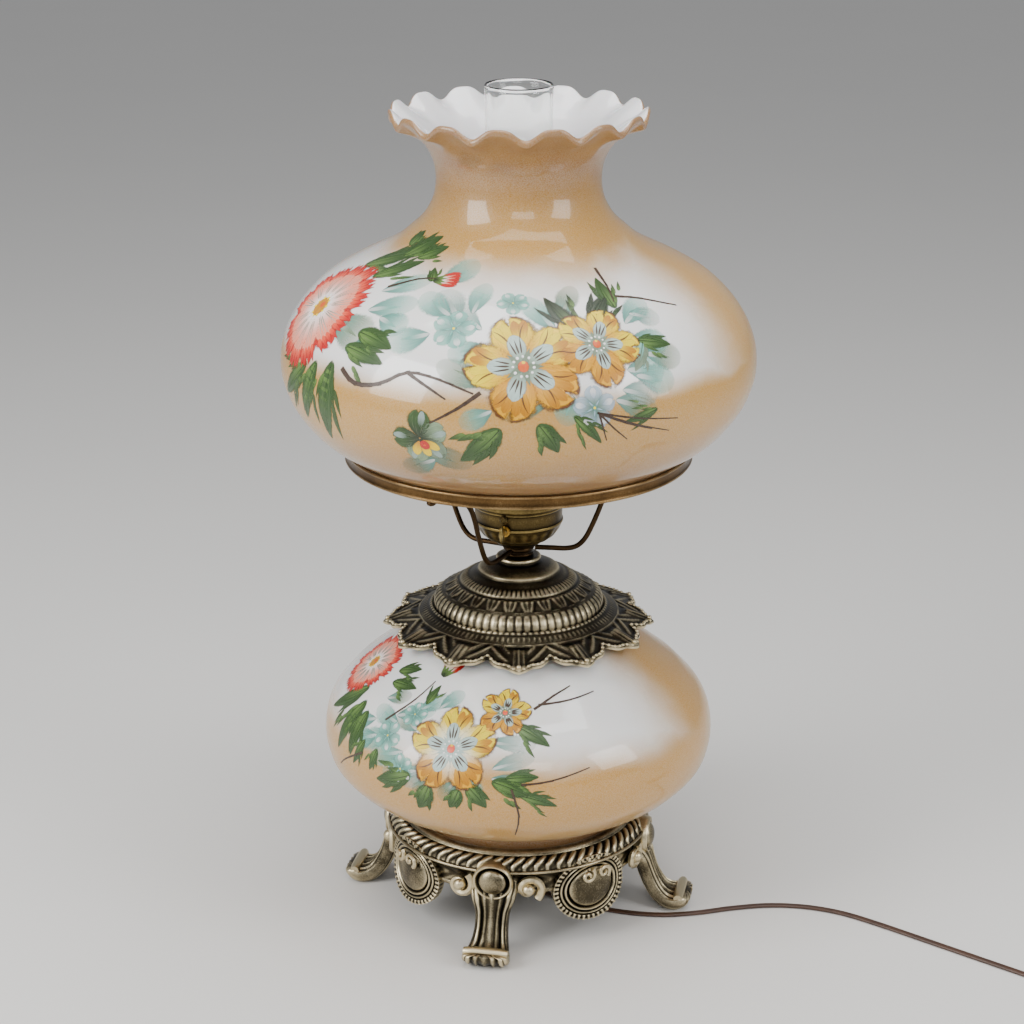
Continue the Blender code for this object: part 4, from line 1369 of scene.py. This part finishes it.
    def build(self) -> None:
        """Builds the ring and its ornaments."""
        ring = Bench.lathe("base_ring", self.outline(), 504)
        Bench.relief(ring, self.carved)
        Bench.dress(ring, Finish.ANTIQUED, "lamp_body", "antiqued_casting", "base_casting")
        first = self.first_foot
        line = np.stack([np.full(20, -130.6), np.linspace(-17, 17, 20), np.full(20, 11.6)], 1)
        section = round_rod(lambda u: 4.4 - np.abs(2 * u - 1) ** 4)
        toe = Bench.sweep("toe", line, section, 14)
        Bench.move(toe, Bench.points(toe) @ turning(first - 180.0))
        self.repeat("feet", [self.foot(first), toe])
        between = first + 45.0
        shell = medallion("shells", between, 45.0, self.shell_rule, (56, 264))
        scrolls = [
            volute("scroll", between, (6.6 * hand, 57.5, 105.4), -hand, 5.8, 1.9)
            for hand in (-1.0, 1.0)
        ]
        self.repeat("shells", [shell, *scrolls])
        eyes = [
            Bench.ball("eye", radial(first + math.degrees(a / APRON), 102.2, 51.0), (5.0,) * 3)
            for a in (-25.5, 25.5)
        ]
        boss = medallion("bosses", first, 57.5, self.boss_rule, (28, 64))
        scrolls = [
            volute("scroll", first, (26.0 * hand, 51.0, 99.8), -hand, 10.6, 3.5)
            for hand in (-1.0, 1.0)
        ]
        self.repeat("bosses", [boss, *scrolls, *eyes])


@dataclass(frozen=True)
class InnerParts:
    """Finishes for the pieces that keep the shape they already have."""

    brass: str = (
        "chimney_gallery switch_bushing switch_spindle cup_screw socket_cap socket_body "
        "socket_screw_shell centre_contact bulb_base night_light_socket plug_blade_left "
        "plug_blade_right"
    )
    steel: str = (
        "centre_pipe base_locknut base_washer globe_check_plate canopy_locknut "
        "night_light_bracket bracket_nut_lower bracket_nut_upper"
    )

    def build(self) -> None:
        """Gives every kept piece its finish."""
        finishes = {name: Finish.PLAIN for name in self.brass.split()}
        finishes.update({name: Finish.STEEL for name in self.steel.split()})
        finishes.update(lower_gasket=Finish.FELT, upper_gasket=Finish.FELT)
        finishes.update(socket_sleeve=Finish.PHENOLIC, cord_bushing=Finish.PHENOLIC)
        finishes.update(night_light_bulb=Finish.FROSTED, cup_screw=Finish.BRASS)
        for name, finish in finishes.items():
            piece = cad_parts[name]
            if isinstance(finish.value, Metal):
                Bench.wear(piece)
            piece.data.materials.clear()
            piece.data.materials.append(finish.material())


class Shape(Enum):
    """Outlines of a brush stroke: half its width by the share along it."""

    PETAL = "petal"
    LEAF = "leaf"
    BLADE = "blade"
    TWIG = "twig"
    DOT = "dot"
    BAND = "band"

    def half(self, t: Array) -> Array:
        """Returns the half width as a share of the full half width."""
        t = np.clip(t, 0.0, 1.0)
        if self is Shape.PETAL:
            return np.sin(math.pi * t**1.35) ** 0.62
        if self is Shape.LEAF:
            return np.sin(math.pi * t**0.78) ** 0.9
        if self is Shape.BLADE:
            return np.sin(math.pi * t**0.6)
        if self is Shape.TWIG:
            return 1.0 - 0.72 * t
        if self is Shape.BAND:
            return np.ones_like(t)
        return dome(2.0 * t - 1.0, 1.0)


YELLOW = rgb(240, 204, 0)
AMBER = rgb(222, 160, 0)
GOLD = rgb(198, 132, 0)
LEMON = rgb(252, 226, 20)
UMBER = rgb(92, 48, 12)
SEPIA = rgb(58, 36, 24)
SAGE = rgb(126, 150, 118)
MOSS = rgb(44, 78, 28)
LEAFY = rgb(92, 128, 56)
FOREST = rgb(22, 44, 20)
TEAL = rgb(128, 196, 180)
DEEP_TEAL = rgb(84, 142, 132)
MIST = rgb(176, 198, 190)
SKY = rgb(176, 200, 218)
WHITE = rgb(250, 249, 246)
CORAL = rgb(236, 84, 54)
CRIMSON = rgb(190, 22, 22)
BLUSH = rgb(246, 150, 122)
ORANGE = rgb(214, 84, 12)
SLATE = rgb(112, 132, 108)


@dataclass
class Painter:
    """Lays enamel strokes on one glass and gathers them into one piece."""

    title: str
    face: GlassFace
    seed: int

    def __post_init__(self) -> None:
        """Starts with no strokes."""
        self.strokes: list[Piece] = []
        self.chance = np.random.default_rng(self.seed)

    def wobble(self, size: float) -> float:
        """Returns a small random change."""
        return float(self.chance.uniform(-size, size))

    def stroke(
        self,
        at: Spot,
        heading: float,
        length: float,
        width: float,
        root: Colour,
        tip: Colour,
        shape: Shape = Shape.LEAF,
        layer: float = 0.0,
        body: float = 1.0,
        bend: float = 0.0,
        offset: float = 0.0,
        notch: float = 0.0,
        raised: float = 0.0,
        fine: bool = False,
        fade: float = 0.0,
    ) -> None:
        """Lays one stroke.

        Args:
            at: Angle and height of its start.
            heading: Its direction in degrees, 0 up the glass, 90 to the right.
            length: Its length in millimetres.
            width: Its full width.
            root: Colour at the start.
            tip: Colour at the end.
            shape: Its outline.
            layer: How many coats lie under it.
            body: How opaque it is.
            bend: How far its direction turns along it, in degrees.
            offset: How far from the start it begins, along its heading.
            notch: How deep its end is notched, as a share of its length.
            raised: How high its middle stands, in millimetres.
            fine: Whether it gets a fine mesh.
            fade: How much of its body is lost towards the end.
        """
        t_fine = np.linspace(0.0, 1.0, SPINE)
        way = np.radians(heading + bend * t_fine)
        step = length / (SPINE - 1)
        line_x = np.concatenate([[0.0], np.cumsum(np.sin(way))[:-1]]) * step
        line_y = np.concatenate([[0.0], np.cumsum(np.cos(way))[:-1]]) * step
        start = math.radians(heading)

        def place(u: Array, v: Array) -> Array:
            """Returns the stroke's points."""
            s = 1.0 - 2.0 * v
            along = u * (1.0 - notch * u**2 * (1.0 - np.abs(s)) ** 1.5)
            direction = np.radians(heading + bend * along)
            half = 0.5 * width * shape.half(u) * s
            across_x = np.interp(along, t_fine, line_x) - np.cos(direction) * half
            across_y = np.interp(along, t_fine, line_y) + np.sin(direction) * half
            across_x += offset * math.sin(start)
            across_y += offset * math.cos(start)
            proud = FIRST_COAT + PAINT_COAT * layer
            rise = raised * np.maximum(0.0, 1.0 - s**2) * np.maximum(0.0, 1.0 - (2 * u - 1) ** 2)
            return self.face.spot(at[0], at[1], across_x, across_y, proud + rise)

        counts = (16, 8) if fine else (9, 4)
        piece = Bench.grid("stroke", counts, place, closed=False)
        u = np.zeros(len(piece.data.vertices))
        corners = np.zeros(len(piece.data.loops), int)
        piece.data.loops.foreach_get("vertex_index", corners)
        spread = np.zeros(2 * len(corners), np.float32)
        piece.data.uv_layers[0].data.foreach_get("uv", spread)
        u[corners] = spread[::2]
        share = ramp(u, 0.05, 0.75)[:, None]
        colours = np.array(root) * (1.0 - share) + np.array(tip) * share
        layer_paint = piece.data.color_attributes.new("paint", "FLOAT_COLOR", "POINT")
        layer_paint.data.foreach_set("color", colours.astype(np.float32).ravel())
        Bench.mark(piece, "body", body * (1.0 - fade * ramp(u, 0.2, 1.0)))
        self.strokes.append(piece)
        if len(self.strokes) > HEAP:
            self.strokes = [Bench.join(self.strokes)]

    def between(self, start: Spot, end: Spot) -> tuple[float, float]:
        """Returns the heading and the length from one spot to another."""
        run_a, run_b = (np.interp(p[1], self.face.side[:, 1], self.face.run) for p in (start, end))
        middle = 0.5 * (start[1] + end[1])
        radius = np.interp(middle, self.face.side[:, 1], self.face.side[:, 0])
        dx = math.radians(end[0] - start[0]) * radius
        dy = float(run_b - run_a)
        return math.degrees(math.atan2(dx, dy)), math.hypot(dx, dy)

    def leaf(
        self, start: Spot, end: Spot, width: float, dark: Colour = MOSS, light: Colour = LEAFY
    ) -> None:
        """Paints a leaf: a dark stroke, a lighter half, teeth at the edge and a vein."""
        bend, body, teeth = 14.0, 0.95, 4
        heading, length = self.between(start, end)
        heading -= 0.5 * bend
        self.stroke(
            start, heading, length, width, dark, dark, Shape.LEAF, 2.0, body, bend, fine=True
        )
        self.stroke(
            start, heading + 6.0, length * 0.92, width * 0.52, light, dark, Shape.LEAF, 3.0,
            body * 0.9, bend - 10.0, offset=length * 0.04,
        )
        for k in range(teeth):
            share = 0.26 + 0.56 * k / (teeth - 1)
            for hand in (-1.0, 1.0):
                turn = heading + bend * share
                self.stroke(
                    start, turn + hand * (24.0 + self.wobble(6)), length * 0.34, width * 0.26,
                    light if hand > 0 else dark, dark, Shape.BLADE, 2.5, body * 0.85,
                    -hand * 10.0, offset=length * share * 0.72,
                )
        self.stroke(
            start, heading, length * 0.88, 0.9, FOREST, dark, Shape.TWIG, 4.0, body * 0.8, bend,
            offset=length * 0.05,
        )

    def petal(
        self, at: Spot, heading: float, length: float, width: float, root: Colour, tip: Colour,
        layer: float, body: float, notch: float,
    ) -> None:
        """Lays one finely meshed petal with a notched end."""
        self.stroke(at, heading, length, width, root, tip, Shape.PETAL, layer, body,
                    notch=notch, fine=True)

    def wash(self, start: Spot, end: Spot, width: float, colour: Colour) -> None:
        """Paints a thin, soft leaf behind the others."""
        body = 0.75
        heading, length = self.between(start, end)
        self.stroke(
            start, heading - 9.0, length * 1.3, width * 1.1, DEEP_TEAL, colour, Shape.PETAL, 0.0,
            body, 18.0, fine=True, fade=0.75,
        )
        self.stroke(
            start, heading - 4.0, length * 0.9, width * 0.2, WHITE, colour, Shape.BLADE, 1.0,
            body * 0.7, 8.0,
        )

    def twig(self, spots: Sequence[Spot], width: float) -> None:
        """Paints a tapering brown twig through spots."""
        line = flowing(spots, 3)
        for k in range(len(line) - 1):
            heading, length = self.between(line[k], line[k + 1])
            share = k / len(line)
            self.stroke(
                line[k], heading, length * 1.5, width * 1.2 * (1.0 - 0.75 * share), SEPIA, SEPIA,
                Shape.BAND, 4.0, 1.0, offset=-0.2 * length,
            )

    def dot(
        self, at: Spot, heading: float, distance: float, size: float, colour: Colour,
        layer: float = 9.0, raised: float = 0.35,
    ) -> None:
        """Lays one raised dot at a distance from a spot."""
        self.stroke(
            at, heading, size, size, colour, colour, Shape.DOT, layer, 1.0,
            offset=distance - 0.5 * size, raised=raised,
        )

    def ring(self, at: Spot, radius: float, count: int, size: float, colour: Colour) -> None:
        """Lays a ring of raised dots round a spot."""
        for k in range(count):
            heading = 360.0 * k / count + self.wobble(5)
            self.dot(at, heading, radius, size * (1 + self.wobble(0.2)), colour)

    def yellow(
        self, at: Spot, size: float, turn: float, star: Colour = SLATE, eye: Colour = ORANGE,
        root: Colour = GOLD,
    ) -> None:
        """Paints a yellow flower: five heart-shaped petals, a pale star and dark stamens."""
        for k in range(5):
            way = turn + FIFTH * k + self.wobble(4)
            long = size * (0.96 + self.wobble(0.05))
            sunny = math.cos(math.radians(way)) > -0.25
            tip = YELLOW if sunny else AMBER
            coat = 3.0 + 0.1 * k
            self.petal(at, way + 1.5, long * 1.05, size * 0.88, UMBER, UMBER, coat, 1.0, 0.24)
            self.petal(at, way, long, size * 0.82, root, tip, coat + 1.0, 1.0, 0.24)
            for lean in (-17.0, -6.0, 7.0, 18.0):
                bright = LEMON if sunny and lean < 5.0 else GOLD
                self.stroke(at, way + lean, long * 0.46, size * 0.19, tip, bright,
                            Shape.PETAL, 5.0, 0.75, lean * 0.3, offset=long * 0.44)
            for lean in (-13.0, 12.0):
                self.stroke(at, way + lean, long * 0.4, 1.3, UMBER, UMBER, Shape.BLADE, 5.6, 0.8,
                            lean * 3.4, offset=long * 0.48)
        for k in range(5):
            way = turn + FIFTH * k
            self.stroke(at, way, size * 0.6, size * 0.34, star, MIST, Shape.PETAL, 6.0, 0.95)
            self.stroke(at, way + 0.5 * FIFTH, size * 0.34, size * 0.12, star, star,
                        Shape.BLADE, 6.0, 0.8)
            for lean in (-11.0, 0.0, 11.0):
                self.stroke(at, way + lean, size * (0.3 + self.wobble(0.05)), 1.5, SEPIA, SEPIA,
                            Shape.BLADE, 7.0, 1.0, offset=size * 0.22)
        self.dot(at, 0.0, 0.0, size * 0.2, eye, 8.0, 0.3)
        self.dot(at, 0.0, size * 0.05, size * 0.09, YELLOW, 9.5, 0.2)
        self.ring(at, size * 0.17, 11, size * 0.05, WHITE)

    def pink(self, at: Spot, size: float, turn: float) -> None:
        """Paints a white flower with many coral-tipped, ragged petals."""
        for k in range(13):
            way = turn + 360.0 * k / 13.0 + self.wobble(3)
            long = size * (0.96 + self.wobble(0.06))
            coat = 3.0 + 0.05 * k
            self.petal(at, way, long, size * 0.5, CORAL, CRIMSON, coat, 1.0, 0.12)
            self.petal(at, way, long * 0.84, size * 0.4, WHITE, BLUSH, coat + 1.0, 1.0, 0.1)
            for lean in (-9.0, -3.0, 3.0, 9.0):
                self.stroke(at, way + lean, size * 0.3, size * 0.085, CORAL, CRIMSON,
                            Shape.BLADE, 5.0, 0.95, offset=long * 0.68)
            for lean in (-5.0, 0.0, 5.0):
                self.stroke(at, way + lean, long * 0.5, 0.9, SLATE, MIST, Shape.BLADE, 5.5, 0.7,
                            offset=size * 0.25)
        self.dot(at, 0.0, 0.0, size * 0.34, GOLD, 7.0, 0.3)
        self.dot(at, 30.0, size * 0.03, size * 0.2, ORANGE, 8.0, 0.3)
        self.ring(at, size * 0.22, 14, size * 0.05, WHITE)
        self.ring(at, size * 0.16, 10, size * 0.05, LEMON)

    def pale(self, at: Spot, size: float, turn: float, colour: Colour = TEAL) -> None:
        """Paints a small soft flower of five round petals."""
        for k in range(5):
            way = turn + FIFTH * k + self.wobble(8)
            self.petal(at, way, size, size * 0.95, DEEP_TEAL, colour, 1.0 + 0.05 * k, 0.62, 0.1)
            self.stroke(at, way, size * 0.5, size * 0.34, colour, WHITE, Shape.PETAL, 2.0, 0.6,
                        offset=size * 0.38)
            self.stroke(at, way + 0.5 * FIFTH, size * 0.4, size * 0.1, DEEP_TEAL, colour,
                        Shape.BLADE, 2.5, 0.8)
        self.dot(at, 0.0, 0.0, size * 0.26, DEEP_TEAL, 3.0, 0.1)
        self.dot(at, 0.0, 0.0, size * 0.14, LEMON, 4.0, 0.15)

    def gather(self, body: str) -> None:
        """Joins the strokes into one piece and finishes it."""
        piece = Bench.join(self.strokes)
        piece.name = self.title
        piece.data.name = self.title
        Bench.dress(piece, Finish.ENAMEL, body, "painted_glass")


@dataclass
class Decoration:
    """The painted sprays on the shade and on the globe, with plainer ones on the back."""

    def shade_front(self, brush: Painter) -> None:
        """Paints the shade's front."""
        washes = (
            ((-17, 504), (-24, 516), 26, MIST), ((-48, 502), (-36, 508), 24, TEAL),
            ((-30, 520), (-21, 530), 24, TEAL), ((-58, 492), (-44, 486), 30, SAGE),
            ((-50, 512), (-38, 520), 22, TEAL), ((33, 505), (40, 500), 18, MIST),
            ((30, 492), (38, 486), 20, TEAL), ((28, 470), (36, 462), 22, TEAL),
            ((24, 462), (31, 455), 18, MIST), ((8, 462), (-2, 452), 16, SAGE),
            ((-6, 470), (-17, 478), 20, SAGE), ((-8, 492), (-16, 487), 18, TEAL),
            ((-24, 418), (-14, 410), 22, SLATE), ((-20, 412), (-28, 402), 20, SLATE),
            ((-20, 506), (-30, 514), 22, TEAL), ((-24, 496), (-33, 490), 22, TEAL),
            ((-14, 508), (-12, 520), 18, TEAL), ((-10, 500), (-18, 510), 18, MIST),
            ((10, 500), (4, 514), 20, TEAL), ((12, 506), (18, 518), 18, SAGE),
            ((30, 500), (39, 508), 20, TEAL), ((32, 482), (40, 476), 22, SAGE),
            ((26, 474), (34, 470), 22, TEAL), ((12, 462), (10, 446), 20, TEAL),
            ((22, 456), (30, 446), 20, SAGE), ((-6, 452), (-12, 444), 16, TEAL),
            ((-42, 500), (-34, 496), 22, TEAL), ((-46, 478), (-38, 486), 20, SAGE),
        )
        for start, end, width, colour in washes:
            brush.wash(start, end, width, colour)
        brush.pale((-18, 500), 17, 10)
        brush.pale((-2, 514), 12, 40)
        brush.pale((17, 452), 16, 0, SKY)
        leaves = (
            ((-76, 518), (-54, 534), 22), ((-62, 516), (-46, 530), 18),
            ((-62, 528), (-46, 545), 20), ((-66, 534), (-64, 545), 15),
            ((-52, 530), (-38, 540), 14), ((-46, 490), (-33, 484), 18),
            ((-48, 480), (-34, 474), 16), ((-56, 466), (-62, 418), 18),
            ((-50, 470), (-53, 408), 20), ((-60, 462), (-74, 428), 16),
            ((30, 508), (31, 524), 14), ((31, 490), (41, 484), 12), ((-4, 440), (-14, 412), 21),
            ((4, 443), (9, 420), 17), ((33, 446), (24, 440), 8), ((12, 448), (19, 425), 9),
            ((-34, 521), (-38, 528), 9),
        )
        for start, end, width in leaves:
            brush.leaf(start, end, width)
        brush.leaf((17, 496), (8.5, 517), 18, FOREST, LEAFY)
        brush.leaf((20, 500), (30, 516), 17, FOREST, MOSS)
        brush.leaf((33, 490), (28, 472), 11, SLATE, TEAL)
        brush.twig([(-46, 466), (-41, 459), (-34, 462), (-27, 472), (-19, 470), (-11, 463)], 3.6)
        brush.twig([(-27, 472), (-21, 464), (-17, 458)], 2.4)
        brush.twig([(-9, 463), (-14, 452), (-20, 441)], 2.8)
        brush.twig([(-49, 515), (-41, 521), (-33, 523)], 2.4)
        brush.twig([(33, 514), (41, 511), (51, 504)], 2.4)
        brush.twig([(34, 528), (33, 520), (31, 512)], 2.2)
        for end in ((20, 428), (25, 427), (31, 432), (36, 428), (38, 436)):
            brush.twig([(18, 448), (0.5 * (18 + end[0]), 0.5 * (446 + end[1])), end], 1.5)
        brush.pink((-69, 494), 51, 8)
        self.bud(brush, (-34, 522), 80.0)
        self.olive(brush, (-23, 428))
        brush.yellow((20, 491), 33, 26)
        brush.yellow((1, 480), 43, -18)

    @staticmethod
    def bud(brush: Painter, at: Spot, way: float) -> None:
        """Paints a half-open coral bud."""
        for lean, colour in ((-20, CRIMSON), (-8, CORAL), (6, BLUSH), (18, CRIMSON)):
            brush.stroke(at, way + lean, 21, 9, colour, CRIMSON, Shape.PETAL, 4, 1, notch=0.1)
            brush.stroke(at, way + lean, 12, 2.4, WHITE, BLUSH, Shape.BLADE, 5, 0.8, offset=5)
        for lean in (-34, -12, 14, 32):
            brush.stroke(at, way + lean, 11, 4, FOREST, LEAFY, Shape.BLADE, 6)

    @staticmethod
    def olive(brush: Painter, at: Spot) -> None:
        """Paints the small olive flower that hangs below the branch."""
        for way, colour in ((0, MOSS), (64, SAGE), (128, SLATE), (196, SAGE), (264, MOSS)):
            brush.petal(at, way, 22, 20, FOREST, colour, 2, 0.9, 0.1)
            brush.stroke(at, way + 8, 14, 6, colour, MIST, Shape.PETAL, 3, 0.6, offset=7)
        for way in (120, 160, 200):
            brush.stroke(at, way, 14, 8, GOLD, YELLOW, Shape.PETAL, 4, 0.95, offset=2)
        brush.dot(at, 150, 6, 8, CRIMSON, 5, 0.2)
        brush.dot(at, 150, 6, 3.5, ORANGE, 6, 0.2)

    def globe_front(self, brush: Painter) -> None:
        """Paints the globe's front."""
        washes = (
            ((-45, 190), (-34, 196), 17, TEAL), ((-42, 180), (-52, 172), 18, TEAL),
            ((-36, 172), (-46, 164), 17, TEAL), ((-38, 196), (-30, 204), 15, TEAL),
            ((-28, 166), (-34, 154), 18, MIST), ((-8, 170), (2, 176), 14, MIST),
            ((-18, 160), (-22, 148), 14, SAGE), ((-52, 184), (-60, 178), 16, TEAL),
            ((-10, 186), (2, 184), 14, MIST), ((-48, 176), (-56, 168), 18, TEAL),
            ((-42, 186), (-52, 190), 16, TEAL), ((-34, 186), (-42, 192), 16, SAGE),
            ((-30, 162), (-40, 156), 16, TEAL), ((-26, 156), (-30, 146), 15, SAGE),
            ((-16, 162), (-12, 152), 15, TEAL), ((-8, 164), (0, 158), 15, SAGE),
            ((-30, 200), (-24, 208), 14, TEAL), ((-54, 196), (-46, 200), 14, SAGE),
        )
        for start, end, width, colour in washes:
            brush.wash(start, end, width, colour)
        brush.pale((-44, 178), 13, 20)
        brush.pale((-36, 160), 12, 50)
        brush.pale((-38, 194), 11, 0)
        leaves = (
            ((-58, 204), (-44, 206), 12), ((-60, 210), (-48, 216), 11),
            ((-62, 190), (-66, 150), 17), ((-58, 186), (-58, 152), 15),
            ((-66, 196), (-80, 170), 16), ((-52, 170), (-56, 148), 9),
            ((-46, 168), (-48, 150), 9), ((-32, 158), (-45, 146), 16),
            ((-26, 154), (-30, 132), 17), ((-17, 154), (-20, 138), 14),
            ((-15, 158), (-9, 141), 15), ((-8, 162), (4, 150), 15), ((-4, 164), (6, 165), 10),
            ((0, 152), (11, 142), 9), ((-36, 200), (-34, 212), 8),
        )
        for start, end, width in leaves:
            brush.leaf(start, end, width)
        brush.leaf((-2, 196), (10, 183), 13, MOSS, LEAFY)
        brush.twig([(6, 204), (14, 210), (22, 214)], 2.0)
        brush.twig([(8, 206), (20, 207), (31, 209)], 1.8)
        brush.twig([(1, 160), (9, 162), (20, 168)], 1.6)
        brush.twig([(-2, 156), (0, 136), (-1, 116)], 1.8)
        brush.twig([(-48, 186), (-42, 200), (-38, 212)], 1.8)
        brush.twig([(-52, 160), (-60, 148), (-64, 140)], 1.6)
        brush.pink((-80, 204), 33, 0)
        self.bud(brush, (-36, 216), 20.0)
        brush.yellow((-5, 202), 21, 12, SLATE, CORAL)
        brush.yellow((-21, 180), 35, -8, MIST, CORAL, rgb(236, 240, 226))

    def build(self) -> None:
        """Paints both glasses, front and back."""
        shade = Painter("shade_flowers", GlassFace(SHADE_SIDE), 11)
        self.shade_front(shade)
        shade.leaf((168, 470), (152, 450), 18)
        shade.leaf((190, 474), (206, 458), 18)
        shade.leaf((184, 500), (196, 514), 15)
        shade.twig([(160, 470), (146, 462), (134, 468)], 3.0)
        shade.yellow((178, 482), 32, 12)
        shade.gather("glass_shade")
        globe = Painter("globe_flowers", GlassFace(GLOBE_SIDE), 12)
        self.globe_front(globe)
        globe.leaf((168, 170), (156, 152), 13)
        globe.leaf((190, 170), (202, 156), 13)
        globe.yellow((178, 178), 24, 12, MIST, CORAL)
        globe.gather("lamp_body")


def main() -> None:
    """Builds the studio, the cord and then the lamp from the top down."""
    logging.basicConfig(level=logging.INFO, format="%(message)s")
    for maker in (
        Studio(), MainsCord(), Shade(), Chimney(), Globe(), Decoration(),
        ShadeSupport(), Burner(), Canopy(), Base(), InnerParts(),
    ):
        LOG.info("building %s", type(maker).__name__)
        maker.build()


if __name__ == "__main__":
    main()
